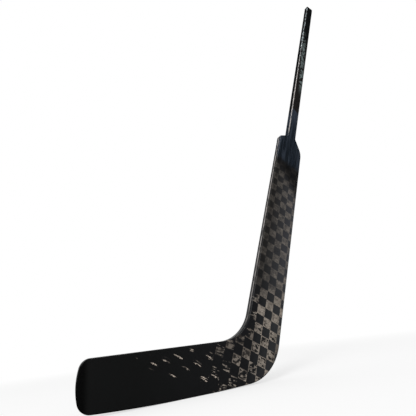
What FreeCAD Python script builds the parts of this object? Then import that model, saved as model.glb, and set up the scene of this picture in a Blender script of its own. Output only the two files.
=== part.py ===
"""Ice-hockey goalkeeper's stick, moulded in carbon laminate over foam cores.

Frame: millimetres, +Z up, the sole of the blade on Z = 0 and the origin at the middle of the flat
stretch of the sole. The toe points along -X and bends towards +Y, the shaft leans towards +X and the
front face looks along -Y. The heel point is where the line of the paddle's back edge meets the ice.
Paddle, neck and shaft are drawn in a leaning frame: its origin is the heel point, its Z runs up the
shaft, and its X points from the toe side to the back side, so that the back edge is X = 0.
"""
import FreeCAD, Part
import Sketcher
import math
import os
import re
from enum import Enum, IntEnum, auto

SIZES = {
    # Stance and overall lengths
    "lean_angle": 22.9,            # degrees of the shaft from upright, with the sole flat on the ice
    "heel_from_sole": 187,         # heel point, from the middle of the sole
    "stick_length": 1514,          # heel point to butt, along the shaft
    "blade_length": 390.5,         # heel point to toe
    "blade_height": 87,            # sole to top edge
    # Paddle and shaft sections
    "paddle_width": 88.9,          # at the bottom of the straight rails
    "paddle_top_width": 86.6,      # under the shoulders
    "shaft_inset": 43.8,           # middle of the shaft, from the back edge
    "face_thickness": 18.4,        # front face to back face, paddle and shaft alike
    "shaft_width": 31,
    "edge_rounding": 4,            # long edges of paddle, neck and shaft; thinner edges in proportion
    # Blade, heel and toe outline
    "heel_radius": 101,
    "throat_radius": 84,           # hollow between blade and paddle
    "toe_radius": 110,             # bulge of the toe
    "toe_top_corner": 18,
    "toe_sole_corner": 22,
    "toe_centre_height": 45,
    "rocker_radius": 3600,         # long curve of the sole, from heel to toe
    "sole_grind": 0.3,             # ground off the sole's middle, which leaves its flat
    # Blade thickness and curve, seen from above
    "thinning_length": 100,        # from the heel block towards the toe
    "blade_root_thickness": 11,
    "toe_thickness": 8,
    "blade_curve": 9.6,            # how far the toe bends back
    # Edge bands and skins
    "edge_margin": 0.4,            # flat land between the rounding and the skin
    "skin_thickness": 1.0,
    "bond_gap": 0.1,               # glue line round cores, spine and plug
    "toe_band_length": 36,         # toe band, from the toe back along the blade
    # Stations along the shaft, from the heel point
    "spine_start": 85,
    "rail_start": 140,
    "collar_start": 622,
    # Shoulders and neck
    "shoulder_side": 5.4,          # straight back side between the paddle's end and the back shoulder
    "neck_length": 109,            # straight neck above the shoulders
    "back_slope_angle": 58,        # degrees from square across the shaft
    "toe_slope_angle": 36,
    "back_blend_radius": 60,
    "toe_shoulder_corner": 9,
    "neck_fillet": 8,
    # Inside
    "spine_wall": 1.2,
    "block_length": 137,           # heel block, from the heel point towards the toe
    "tenon_length": 55,
    "rib_height": 43,
    "rib_thickness": 2.4,
    # Butt plug
    "plug_cap": 5,
    "plug_cap_bevel": 1.2,
    "plug_stem": 40,
    "plug_wall": 1.8,
    # How far cutting shapes run past the solid they cut
    "overrun": 20,
}

# Formulas shared by several pieces, in the size names above
LEAN = "(lean_angle * 1deg)"
EDGE_WIDTH = "(edge_rounding + edge_margin)"
BAND_DEPTH = f"({EDGE_WIDTH} + 2 * edge_margin)"
TOE_X = "(heel_from_sole - blade_length)"
TOE_JOINT = f"({TOE_X} + toe_band_length)"
BLOCK_X = "(heel_from_sole - block_length)"
ROOT_X = f"({BLOCK_X} - thinning_length)"
BACK_SLOPE = "(back_slope_angle * 1deg)"
SHOULDER_BENDS = "(neck_fillet + back_blend_radius)"
SLOPE_RUN = f"(shaft_inset - shaft_width / 2 - {SHOULDER_BENDS} * (1 - sin({BACK_SLOPE})))"
SHOULDER_RISE = f"({SHOULDER_BENDS} * cos({BACK_SLOPE}) + {SLOPE_RUN} * tan({BACK_SLOPE}))"
NECK_START = f"(collar_start + shoulder_side + {SHOULDER_RISE})"
NECK_END = f"({NECK_START} + neck_length)"
NEAR, FAR = "-2 * face_thickness", "2 * face_thickness"
FLOOR, ROOF = "-overrun", "(blade_height + paddle_width + rail_start)"
HEEL_SIDE = "(heel_from_sole + rail_start + overrun)"
# Headings in a sketch, in degrees
RIGHT_ANGLE, UP_ANGLE, LEFT_ANGLE, DOWN_ANGLE = 0, 90, 180, -90
# A surface belongs to a face, not to a side, where its normal's Y passes this share
FACE_NORMAL_SHARE = 0.7
# Sections of the blade: (along the thinning, through its S bend), then along the run to the toe band
BEND_SHARES = ((0, 0), (0.25, 0.125), (0.5, 0.5), (0.75, 0.875), (1, 1))
TOE_RUN_SHARES = (0.33, 0.67, 1)
# Sections of the bands round toe, heel and throat: so many steps on each arc of the outline
TOE_ARC_STEPS, HEEL_ARC_STEPS = 5, 12
MM3_PER_CM3 = 1000


class SketchPoint(IntEnum):
    """Places on a sketch edge, by the numbers that sketches use."""
    START = auto()
    END = auto()
    CENTRE = auto()


class Face(Enum):
    """The two broad faces of the stick."""
    FRONT = auto()
    BACK = auto()


START, END, CENTRE = SketchPoint
FRONT, BACK = Face
ORIGIN_POINT = (-START, START)

doc = FreeCAD.newDocument("goalie_stick")
sheet = doc.addObject("Spreadsheet::Sheet", "Sizes")
for row, (alias, amount) in enumerate(SIZES.items(), start=1):
    sheet.set(f"A{row}", alias)
    sheet.set(f"B{row}", str(amount))
    sheet.setAlias(f"B{row}", alias)
gauge = doc.addObject("App::FeaturePython", "Gauge")
gauge.addProperty("App::PropertyFloat", "Reading")
doc.recompute()


def cells(formula):
    """Turn a formula in size names into one that reads the sheet."""
    return re.sub(r"[a-z_]+", lambda word: prefixed(word.group(0)), formula)


def prefixed(word):
    """Point a word at the sheet if it is the name of a size."""
    return f"Sizes.{word}" if word in SIZES else word


def value(formula):
    """Read a formula in size names as a number."""
    gauge.setExpression("Reading", cells(formula))
    gauge.recompute()
    return gauge.Reading


def bind(target, path, formula):
    """Tie one property of a document object to the sheet."""
    target.setExpression(path, cells(formula))


class Profile:
    """A closed sketch outline: edges drawn near their place, then sized from the sheet."""

    def __init__(self, sketch):
        self.sketch = sketch
        self.bends = {}

    def line(self, start, end):
        """Draw a straight edge between two (x, y) points."""
        edge = Part.LineSegment(FreeCAD.Vector(*start), FreeCAD.Vector(*end))
        return self.sketch.addGeometry(edge)

    def arc(self, centre, radius, first, last):
        """Draw an arc anticlockwise between two angles in degrees."""
        circle = Part.Circle(FreeCAD.Vector(*centre), FreeCAD.Vector(0, 0, 1), radius)
        edge = Part.ArcOfCircle(circle, math.radians(first), math.radians(last))
        return self.sketch.addGeometry(edge)

    def rule(self, *words):
        """Add one geometric constraint."""
        return self.sketch.addConstraint(Sketcher.Constraint(*words))

    def size(self, formula, *words):
        """Add one dimension and tie it to the sheet."""
        index = self.rule(*words)
        self.sketch.setExpression(f"Constraints[{index}]", cells(formula))

    def meet(self, *joint):
        """Join two ends with a corner."""
        self.rule("Coincident", *joint)

    def flow(self, *joint):
        """Join two ends smoothly."""
        self.rule("Tangent", *joint)

    def across(self, edge, end, formula):
        """Place one end of an edge along the sketch's X."""
        here = self.sketch.getPoint(edge, end).x
        self.size(formula, "DistanceX", *ORIGIN_POINT, edge, end, here)

    def up(self, edge, end, formula):
        """Place one end of an edge along the sketch's Y."""
        here = self.sketch.getPoint(edge, end).y
        self.size(formula, "DistanceY", *ORIGIN_POINT, edge, end, here)

    def place(self, edge, end, across, up):
        """Place one end of an edge along both of the sketch's axes."""
        self.across(edge, end, across)
        self.up(edge, end, up)

    def radius(self, edge, formula):
        """Size an arc."""
        self.size(formula, "Radius", edge, value(formula))

    def direction(self, edge, formula):
        """Turn a line, from its start to its end, to an angle in degrees."""
        self.size(f"({formula}) * 1deg", "Angle", edge, math.radians(value(formula)))


def make_body(label):
    """Start a body of the leaning frame: heel point as origin, Z up the shaft."""
    body = doc.addObject("PartDesign::Body", label)
    body.Label = label
    body.Placement.Rotation = FreeCAD.Rotation(FreeCAD.Vector(0, 1, 0), value("lean_angle"))
    bind(body, "Placement.Base.x", "heel_from_sole")
    bind(body, "Placement.Rotation.Angle", "lean_angle")
    return body


def body_profile(body, name, role, offset="0"):
    """Open a sketch on one of a body's own planes, moved along the plane's normal."""
    sketch = body.newObject("Sketcher::SketchObject", name)
    plane = next(item for item in body.Origin.OriginFeatures if item.Role == role)
    sketch.AttachmentSupport = [(plane, "")]
    sketch.MapMode = "FlatFace"
    bind(sketch, "AttachmentOffset.Base.z", offset)
    return Profile(sketch)


def free_profile(name, turn_about_x):
    """Open a sketch in the stick's own frame, turned from the XY plane about X."""
    sketch = doc.addObject("Sketcher::SketchObject", name)
    sketch.Placement.Rotation = FreeCAD.Rotation(FreeCAD.Vector(1, 0, 0), turn_about_x)
    return Profile(sketch)


def pad(body, profile, length, name):
    """Pad a sketch of a body along the sketch's normal."""
    feature = body.newObject("PartDesign::Pad", name)
    feature.Profile = profile.sketch
    bind(feature, "Length", length)
    return feature


def centred_pad(body, profile, length, name):
    """Pad a sketch of a body by half the length to either side."""
    feature = pad(body, profile, length, name)
    feature.SideType = "Symmetric"
    return feature


def pocket(body, profile, length, name, along_normal=False):
    """Cut a sketch of a body into it, against the sketch's normal or along it."""
    before = solid_of(body).Volume
    feature = body.newObject("PartDesign::Pocket", name)
    feature.Profile = profile.sketch
    feature.Reversed = along_normal
    bind(feature, "Length", length)
    after = solid_of(body).Volume
    assert after < before, f"{name} cuts nothing"
    return feature


def solid_of(body):
    """Bring the document up to date and give a body's shape."""
    doc.recompute()
    return body.Shape


def extrude(profile, length, name, both_ways):
    """Extrude a free sketch along its normal."""
    feature = doc.addObject("Part::Extrusion", name)
    feature.Base = profile.sketch
    feature.DirMode = "Normal"
    feature.Solid = True
    feature.Symmetric = both_ways
    bind(feature, "LengthFwd", length)
    return feature


def box(name, low, high):
    """Make a zone box between two corners given as formulas."""
    feature = doc.addObject("Part::Box", name)
    for axis, side, first, last in zip("xyz", ("Length", "Width", "Height"), low, high):
        bind(feature, f"Placement.Base.{axis}", first)
        bind(feature, side, f"({last}) - ({first})")
    return feature


def leaning_box(name, low, high):
    """Make a zone box in the leaning frame, between two corners given as formulas."""
    feature = doc.addObject("Part::Box", name)
    feature.Placement.Rotation = FreeCAD.Rotation(FreeCAD.Vector(0, 1, 0), value("lean_angle"))
    for side, first, last in zip(("Length", "Width", "Height"), low, high):
        bind(feature, side, f"({last}) - ({first})")
    base_x, base_z = leaning_point(low[0], low[2])
    bind(feature, "Placement.Base.x", base_x)
    bind(feature, "Placement.Base.y", low[1])
    bind(feature, "Placement.Base.z", base_z)
    bind(feature, "Placement.Rotation.Angle", "lean_angle")
    return feature


def common(label, *shapes):
    """Keep what several shapes share."""
    feature = doc.addObject("Part::MultiCommon", label)
    feature.Label = label
    feature.Shapes = shapes
    return feature


def cut(label, base, tool):
    """Take one shape away from another."""
    feature = doc.addObject("Part::Cut", label)
    feature.Label = label
    feature.Base = base
    feature.Tool = tool
    return feature


def rounded_rectangle(profile, left, right, deep, corner):
    """Draw a rectangle with rounded corners, centred on the sketch's X axis."""
    low_x, high_x, half, bend = (value(item) for item in (left, right, f"({deep}) / 2", corner))
    bottom = profile.line((low_x + bend, -half), (high_x - bend, -half))
    bottom_right = profile.arc((high_x - bend, bend - half), bend, DOWN_ANGLE, RIGHT_ANGLE)
    right_side = profile.line((high_x, bend - half), (high_x, half - bend))
    top_right = profile.arc((high_x - bend, half - bend), bend, RIGHT_ANGLE, UP_ANGLE)
    top = profile.line((high_x - bend, half), (low_x + bend, half))
    top_left = profile.arc((low_x + bend, half - bend), bend, UP_ANGLE, LEFT_ANGLE)
    left_side = profile.line((low_x, half - bend), (low_x, bend - half))
    bottom_left = profile.arc((low_x + bend, bend - half), bend, LEFT_ANGLE, DOWN_ANGLE)
    ring = (bottom, bottom_right, right_side, top_right, top, top_left, left_side, bottom_left)
    for edge, following in zip(ring, ring[1:] + ring[:1]):
        profile.flow(edge, END, following, START)
    profile.rule("Horizontal", bottom)
    profile.rule("Horizontal", top)
    profile.rule("Vertical", left_side)
    profile.rule("Vertical", right_side)
    for arc in (bottom_left, bottom_right, top_left, top_right):
        profile.radius(arc, corner)
    profile.across(left_side, START, left)
    profile.across(right_side, START, right)
    profile.up(bottom, START, f"-({deep}) / 2")
    profile.up(top, START, f"({deep}) / 2")


def shaft_section(profile, inset, corner):
    """Draw the shaft's section, drawn in all round by an inset."""
    rounded_rectangle(
        profile,
        f"-shaft_inset - shaft_width / 2 + {inset}",
        f"-shaft_inset + shaft_width / 2 - ({inset})",
        f"face_thickness - 2 * ({inset})",
        corner,
    )


def leaning_point(across, along):
    """Give the (x, z) formulas of a point of the leaning frame."""
    return (
        f"heel_from_sole + ({across}) * cos{LEAN} + ({along}) * sin{LEAN}",
        f"({along}) * cos{LEAN} - ({across}) * sin{LEAN}",
    )


def stick_outline(name, inset, top, top_width):
    """Draw blade, heel and paddle from the front, inside the true edge by an inset.

    The outline is closed square across the paddle at the station `top`.
    """
    profile = free_profile(name, 90)
    rail_slope = "atan((paddle_width - paddle_top_width) / (collar_start - rail_start)) / 1deg"
    back_top = leaning_point(f"-({inset})", top)
    toe_side_top = leaning_point(f"-({top_width}) + {inset}", top)
    lean, gap, rise = value("lean_angle"), value(inset), value("rocker_radius")
    slant = math.radians(lean)
    heel, throat = value(f"heel_radius - ({inset})"), value(f"throat_radius + {inset}")
    reach = math.tan((math.pi / 2 - slant) / 2)

    def on_leaning_line(across, height):
        """Find the x where a line up the shaft passes a height."""
        return value("heel_from_sole") + across / math.cos(slant) + height * math.tan(slant)

    heel_x = on_leaning_line(-gap, gap) - heel * reach
    top_z = value(f"blade_height - ({inset})")
    throat_x = on_leaning_line(gap - value("paddle_width"), top_z) - throat * reach
    bulge = (value(f"{TOE_X} + toe_radius"), value("toe_centre_height"))
    corner_top = corner_centre(bulge, value("blade_height - toe_top_corner"), "toe_top_corner")
    corner_sole = corner_centre(bulge, value("toe_sole_corner"), "toe_sole_corner")
    top_turn, sole_turn = heading(bulge, corner_top), heading(bulge, corner_sole)
    heel_tilt = math.degrees(heel_x / rise)
    toe_tilt = math.degrees(corner_sole[0] / rise)

    rocker = profile.arc((0, rise), rise - gap, toe_tilt + DOWN_ANGLE, heel_tilt + DOWN_ANGLE)
    heel_arc = profile.arc((heel_x, heel + gap), heel, heel_tilt + DOWN_ANGLE, -lean)
    back_edge = profile.line(
        (heel_x + heel * math.cos(slant), gap + heel * (1 - math.sin(slant))),
        [value(item) for item in back_top],
    )
    closing = profile.line([value(item) for item in back_top], [value(item) for item in toe_side_top])
    toe_edge_foot = (throat_x + throat * math.cos(slant), top_z + throat * (1 - math.sin(slant)))
    toe_side_edge = profile.line(toe_edge_foot, [value(item) for item in toe_side_top])
    throat_arc = profile.arc((throat_x, top_z + throat), throat, DOWN_ANGLE, -lean)
    top_edge = profile.line((throat_x, top_z), (corner_top[0], top_z))
    top_corner = profile.arc(corner_top, value(f"toe_top_corner - ({inset})"), UP_ANGLE, top_turn)
    toe_bulge = profile.arc(bulge, value(f"toe_radius - ({inset})"), top_turn, sole_turn)
    sole_corner = profile.arc(
        corner_sole, value(f"toe_sole_corner - ({inset})"), sole_turn, toe_tilt + DOWN_ANGLE
    )

    profile.flow(rocker, END, heel_arc, START)
    profile.flow(heel_arc, END, back_edge, START)
    profile.meet(back_edge, END, closing, START)
    profile.meet(closing, END, toe_side_edge, END)
    profile.flow(toe_side_edge, START, throat_arc, END)
    profile.flow(throat_arc, START, top_edge, START)
    profile.flow(top_edge, END, top_corner, START)
    profile.flow(top_corner, END, toe_bulge, START)
    profile.flow(toe_bulge, END, sole_corner, START)
    profile.flow(sole_corner, END, rocker, START)
    profile.rule("Horizontal", top_edge)
    profile.radius(rocker, f"rocker_radius - ({inset})")
    profile.radius(heel_arc, f"heel_radius - ({inset})")
    profile.radius(throat_arc, f"throat_radius + {inset}")
    profile.radius(top_corner, f"toe_top_corner - ({inset})")
    profile.radius(toe_bulge, f"toe_radius - ({inset})")
    profile.radius(sole_corner, f"toe_sole_corner - ({inset})")
    profile.place(rocker, CENTRE, "0", "rocker_radius - sole_grind")
    profile.place(back_edge, END, *back_top)
    profile.place(toe_side_edge, END, *toe_side_top)
    profile.direction(back_edge, f"{UP_ANGLE} - lean_angle")
    profile.direction(toe_side_edge, f"{UP_ANGLE} - lean_angle - {rail_slope}")
    profile.up(top_edge, START, f"blade_height - ({inset})")
    profile.place(toe_bulge, CENTRE, f"{TOE_X} + toe_radius", "toe_centre_height")
    profile.bends["toe"] = (top_corner, toe_bulge, sole_corner)
    profile.bends["heel"] = (heel_arc,)
    profile.bends["throat"] = (throat_arc,)
    return profile


def corner_centre(bulge, height, corner):
    """Find the centre of a toe corner that runs smoothly into the toe's bulge."""
    reach = value(f"toe_radius - {corner}")
    return bulge[0] - math.sqrt(reach ** 2 - (height - bulge[1]) ** 2), height


def heading(origin, target):
    """Give the angle, 0 to 360 degrees, from one point to another."""
    return math.degrees(math.atan2(target[1] - origin[1], target[0] - origin[0])) % 360


def face_line(profile, side, inset):
    """Draw the front or back face from above, inside the true face by an inset.

    The face is flat over paddle and heel, thins through an S bend into the blade and then bends
    back to the toe. Returns the straight edge and the toe arc, which end the line.
    """
    sign = "-" if side == FRONT else ""
    level = f"{sign}(face_thickness / 2 - ({inset}))"
    root = f"{sign}(blade_root_thickness / 2 - ({inset}))"
    toe_level = f"blade_curve + {sign}1 * (toe_thickness / 2 - ({inset}))"
    thin_x, root_x, toe_x = BLOCK_X, ROOT_X, TOE_X
    far_x = "heel_from_sole + collar_start"
    run, drop = value("thinning_length / 2"), abs(value(f"({level}) - ({root})")) / 2
    bend = (run ** 2 + drop ** 2) / (2 * drop)
    turn = math.degrees(math.asin(run / bend))
    toe_run, toe_rise = value(f"{root_x} - ({toe_x})"), value(f"({toe_level}) - ({root})")
    sweep = (toe_run ** 2 + toe_rise ** 2) / (2 * toe_rise)
    toe_turn = math.degrees(math.asin((toe_run + value("overrun")) / sweep))

    straight = profile.line((value(far_x), value(level)), (value(thin_x), value(level)))
    if side == FRONT:
        inward = profile.arc((value(thin_x), value(level) + bend), bend, DOWN_ANGLE - turn, DOWN_ANGLE)
        outward = profile.arc((value(root_x), value(root) - bend), bend, UP_ANGLE - turn, UP_ANGLE)
        straight_end, inward_end, outward_start, outward_end = END, START, START, END
    else:
        inward = profile.arc((value(thin_x), value(level) - bend), bend, UP_ANGLE, UP_ANGLE + turn)
        outward = profile.arc((value(root_x), value(root) + bend), bend, DOWN_ANGLE, DOWN_ANGLE + turn)
        straight_end, inward_end, outward_start, outward_end = START, END, END, START
    toe_arc = profile.arc((value(root_x), value(root) + sweep), sweep, DOWN_ANGLE - toe_turn, DOWN_ANGLE)
    toe_mark = profile.sketch.addGeometry(Part.Point(FreeCAD.Vector(value(toe_x), value(toe_level))), True)

    profile.flow(straight, END, inward, straight_end)
    profile.flow(inward, inward_end, outward, outward_start)
    profile.flow(outward, outward_end, toe_arc, END)
    profile.rule("Horizontal", straight)
    profile.rule("Equal", inward, outward)
    profile.place(straight, START, far_x, level)
    profile.across(straight, END, thin_x)
    profile.place(outward, outward_end, root_x, root)
    profile.across(outward, CENTRE, root_x)
    profile.place(toe_mark, START, toe_x, toe_level)
    profile.rule("PointOnObject", toe_mark, START, toe_arc)
    profile.across(toe_arc, START, f"{toe_x} - overrun")
    return straight, toe_arc


def thickness_strip(name, first, second):
    """Extrude upwards the strip between two face lines, each a (side, inset) pair."""
    profile = free_profile(f"{name}_plan", 0)
    bind(profile.sketch, "Placement.Base.z", "-overrun")
    straight_a, toe_a = face_line(profile, *first)
    straight_b, toe_b = face_line(profile, *second)
    point = profile.sketch.getPoint
    far_end = profile.line(point(straight_a, START), point(straight_b, START))
    toe_end = profile.line(point(toe_a, START), point(toe_b, START))
    profile.meet(far_end, START, straight_a, START)
    profile.meet(far_end, END, straight_b, START)
    profile.meet(toe_end, START, toe_a, START)
    profile.meet(toe_end, END, toe_b, START)
    return extrude(profile, "collar_start + paddle_width + 2 * overrun", name, both_ways=False)


def lies_on(edge, wall):
    """Say whether an edge lies in a flat wall, given as a point and a normal."""
    point, normal = wall
    first, last = edge.ParameterRange
    places = (edge.valueAt(place) for place in (first, (first + last) / 2, last))
    return all(abs((place - point).dot(normal)) < value("bond_gap") for place in places)


def perimeter_edges(shape, walls):
    """List the edges between the sides and the two faces, leaving out those on the given walls."""
    picked = []
    for number, edge in enumerate(shape.Edges, start=1):
        faces = shape.ancestorsOfType(edge, Part.Face)
        middle = edge.valueAt(sum(edge.ParameterRange) / 2)
        normals = [face.normalAt(*face.Surface.parameter(middle)) for face in faces]
        sides = [normal for normal in normals if abs(normal.y) < FACE_NORMAL_SHARE]
        joint = any(lies_on(edge, wall) for wall in walls)
        if len(normals) == 2 and len(sides) == 1 and not joint:
            picked.append(number)
    return picked


def blade_faces(place):
    """Give the levels of the front and back face at a place on the run to the toe."""
    bend = f"(({ROOT_X} - ({place})) / ({ROOT_X} - {TOE_X}))^2"
    middle = f"blade_curve * {bend}"
    half = f"(blade_root_thickness + (toe_thickness - blade_root_thickness) * {bend}) / 2"
    return f"({middle} - {half})", f"({middle} + {half})"


def blade_stations():
    """List the blade's sections from heel block to toe band: place, front face and back face."""
    stations = []
    for along_share, bend_share in BEND_SHARES:
        half = f"((face_thickness * {1 - bend_share} + blade_root_thickness * {bend_share}) / 2)"
        stations.append((f"({BLOCK_X} - {along_share} * thinning_length)", f"(-{half})", half))
    for run_share in TOE_RUN_SHARES:
        place = f"({ROOT_X} - {run_share} * ({ROOT_X} - {TOE_JOINT}))"
        stations.append((place, *blade_faces(place)))
    return stations


def sole_height(place):
    """Give the height of the sole's rocker at a place, before its middle is ground flat."""
    return f"({place}^2 / (2 * rocker_radius) - sole_grind)"


def blade_band(label, outer_at, inward):
    """Loft one long edge of the blade, from heel block to toe band, past its seam with the skins."""
    body = doc.addObject("PartDesign::Body", label)
    sections = []
    for place, front, back in blade_stations():
        profile = body_profile(body, f"{label}_{len(sections)}", "YZ_Plane", place)
        profile.sketch.AttachmentOffset.Rotation = FreeCAD.Rotation(FreeCAD.Vector(0, 0, 1), UP_ANGLE)
        outer = outer_at(place)
        inner = f"{outer} {inward} {BAND_DEPTH}"
        rounding = f"edge_rounding * ({back} - {front}) / face_thickness"
        edge_section(profile, outer, inner, f"-{back}", f"-{front}", rounding)
        sections.append(profile.sketch)
    loft = body.newObject("PartDesign::AdditiveLoft", f"{label}_loft")
    loft.Profile = sections[0]
    loft.Sections = [(section, [""]) for section in sections[1:]]
    loft.Ruled = True
    return body


def band_section(point, inward_angle, faces_at, rounding):
    """Draw an edge band's section, square to the outline at a point: two faces and rounded corners.

    The faces may slant: `faces_at` gives the levels of front and back at any x.
    """
    turn = math.radians(inward_angle)
    depth = value(BAND_DEPTH)
    outer_faces = faces_at(point[0])
    inner_faces = faces_at(point[0] + depth * math.cos(turn))

    def spot(inward, level):
        """Give a point of the section by its distance from the outline and its level."""
        return FreeCAD.Vector(point[0] + inward * math.cos(turn), level, point[1] + inward * math.sin(turn))

    edges, outer_ends, inner_ends = [], [], []
    for outer, inner, side in zip(outer_faces, inner_faces, (1, -1)):
        slope = side * (inner - outer) / depth
        stretch = math.hypot(1, slope)
        centre = outer + side * rounding * (slope + stretch)
        touch = (rounding * (1 + slope / stretch), centre - side * rounding / stretch)
        middle_angle = (math.atan2(touch[1] - centre, touch[0] - rounding) * side - math.pi) / 2 * side
        middle = (rounding + rounding * math.cos(middle_angle), centre + rounding * math.sin(middle_angle))
        edges.append(Part.makeLine(spot(depth, inner), spot(*touch)))
        edges.append(Part.Arc(spot(*touch), spot(*middle), spot(0, centre)).toShape())
        outer_ends.append(spot(0, centre))
        inner_ends.append(spot(depth, inner))
    edges += [Part.makeLine(*ends) for ends in (outer_ends, inner_ends)]
    return Part.Wire(Part.__sortEdges__(edges))


def band_stations(outline, bend, steps):
    """List points of the outline along one bend, each with the angle that points inward."""
    stations = []
    for edge in outline.bends[bend]:
        arc = outline.sketch.Geometry[edge]
        for step in range(steps + 1):
            share = step / steps
            point = arc.value(arc.FirstParameter + (arc.LastParameter - arc.FirstParameter) * share)
            inward = point - arc.Center if bend == "throat" else arc.Center - point
            stations.append(((point.x, point.y), math.degrees(math.atan2(inward.y, inward.x))))
    return stations


def outline_band(label, stations, faces_at, rounding):
    """Loft an edge band through its stations, leaving out those that repeat the one before."""
    fresh = [
        here for before, here in zip([None] + stations, stations)
        if before is None or math.dist(before[0], here[0]) > value("bond_gap")
    ]
    sections = [band_section(point, angle, faces_at, rounding) for point, angle in fresh]
    band = doc.addObject("Part::Feature", label)
    band.Shape = Part.makeLoft(sections, True, True)
    return band


def bend_bands(outline):
    """Make the blanks of the bands that turn with the outline: toe, throat and heel."""
    doc.recompute()
    lean, top = value("lean_angle"), value("blade_height")
    joint, block = value(TOE_JOINT), value(BLOCK_X)
    half, heel_round = value("face_thickness / 2"), value("edge_rounding")
    joint_front, joint_back = blade_faces(TOE_JOINT)
    toe_round = value(f"edge_rounding * ({joint_back} - {joint_front}) / face_thickness")
    throat_end = [value(item) for item in leaning_point("-paddle_width", "rail_start")]
    heel_end = [value(item) for item in leaning_point("0", "rail_start")]

    def blade_levels(place):
        """Read the levels of both faces near the toe."""
        return [value(item) for item in blade_faces(str(place))]

    def flat_levels(place):
        """Give the levels of both faces on heel and paddle, the same at every place."""
        return -half, half

    toe = [((joint, top), DOWN_ANGLE)]
    toe += band_stations(outline, "toe", TOE_ARC_STEPS)
    toe.append(((joint, value(sole_height(TOE_JOINT))), UP_ANGLE))
    throat = [((block, top), DOWN_ANGLE)]
    throat += band_stations(outline, "throat", HEEL_ARC_STEPS)
    throat.append((throat_end, -lean))
    heel = [((block, value(sole_height(BLOCK_X))), UP_ANGLE)]
    heel += band_stations(outline, "heel", HEEL_ARC_STEPS)
    heel.append((heel_end, LEFT_ANGLE - lean))
    return (
        outline_band("toe_blank", toe, blade_levels, toe_round),
        outline_band("throat_blank", throat, flat_levels, heel_round),
        outline_band("heel_blank", heel, flat_levels, heel_round),
    )


def edge_bands(skin_slab):
    """Make the blade's edge band in five lengths: toe, throat, heel, top and sole."""
    outline = stick_outline("blade_outline", "0", "rail_start", "paddle_width")
    toe, throat, heel = bend_bands(outline)
    top = blade_band("top_blank", lambda place: "blade_height", "-")
    sole = blade_band("sole_blank", sole_height, "+")
    ice = box("ice", (f"{TOE_X} - overrun", NEAR, FLOOR), (HEEL_SIDE, FAR, "0"))
    return [
        cut("toe_edge", toe, skin_slab),
        cut("throat_edge", throat, skin_slab),
        cut("heel_edge", heel, skin_slab),
        cut("blade_top_edge", top, skin_slab),
        cut("sole_edge", cut("sole_band", sole, skin_slab), ice),
    ]


def laminate_skins(skin_slab):
    """Make the front and back skins: one sheet each over paddle, heel and blade."""
    front_strip = thickness_strip("front_strip", (FRONT, "0"), (FRONT, "skin_thickness"))
    back_strip = thickness_strip("back_strip", (BACK, "0"), (BACK, "skin_thickness"))
    return [common("front_skin", skin_slab, front_strip), common("back_skin", skin_slab, back_strip)]


def blade_inside():
    """Make the heel block with its tenon, the two blade cores and the rib between them."""
    outline = stick_outline("core_outline", f"({EDGE_WIDTH} + bond_gap)", "rail_start", "paddle_width")
    slab = extrude(outline, "4 * face_thickness", "core_slab", both_ways=True)
    lining = "skin_thickness + bond_gap"
    strip = thickness_strip("core_strip", (FRONT, lining), (BACK, lining))
    rib_low, rib_high = "rib_height - rib_thickness / 2", "rib_height + rib_thickness / 2"
    block_zone = box("block_zone", (BLOCK_X, NEAR, FLOOR), (HEEL_SIDE, FAR, ROOF))
    core_end = f"{BLOCK_X} - bond_gap"
    upper_zone = box("upper_zone", (TOE_X, NEAR, f"{rib_high} + bond_gap"), (core_end, FAR, ROOF))
    lower_zone = box("lower_zone", (TOE_X, NEAR, "0"), (core_end, FAR, f"{rib_low} - bond_gap"))
    rib_zone = box("rib_zone", (TOE_X, NEAR, rib_low), (core_end, FAR, rib_high))
    half_slot = "(shaft_width / 2 - skin_thickness + bond_gap)"
    slot = leaning_box("spine_slot", (f"-shaft_inset - {half_slot}", NEAR, "spine_start - bond_gap"),
                       (f"-shaft_inset + {half_slot}", FAR, "rail_start + overrun"))
    block = common("block_blank", slab, strip, block_zone)
    slotted = cut("slotted_block", block, slot)
    heel_block = doc.addObject("Part::Fuse", "heel_block")
    heel_block.Label = "heel_block"
    heel_block.Base = slotted
    heel_block.Tool = spine_tenon()
    return [
        heel_block,
        common("blade_upper_core", slab, strip, upper_zone),
        common("blade_lower_core", slab, strip, lower_zone),
        common("blade_rib", slab, strip, rib_zone),
    ]


def spine_tenon():
    """Make the tongue of the heel block that fits inside the spine."""
    body = make_body("tenon")
    profile = body_profile(body, "tenon_section", "XY_Plane", "spine_start - bond_gap")
    bore = "(skin_thickness + spine_wall + bond_gap)"
    shaft_section(profile, bore, f"edge_rounding - {bore}")
    pad(body, profile, "tenon_length", "tenon_pad")
    return body


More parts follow.
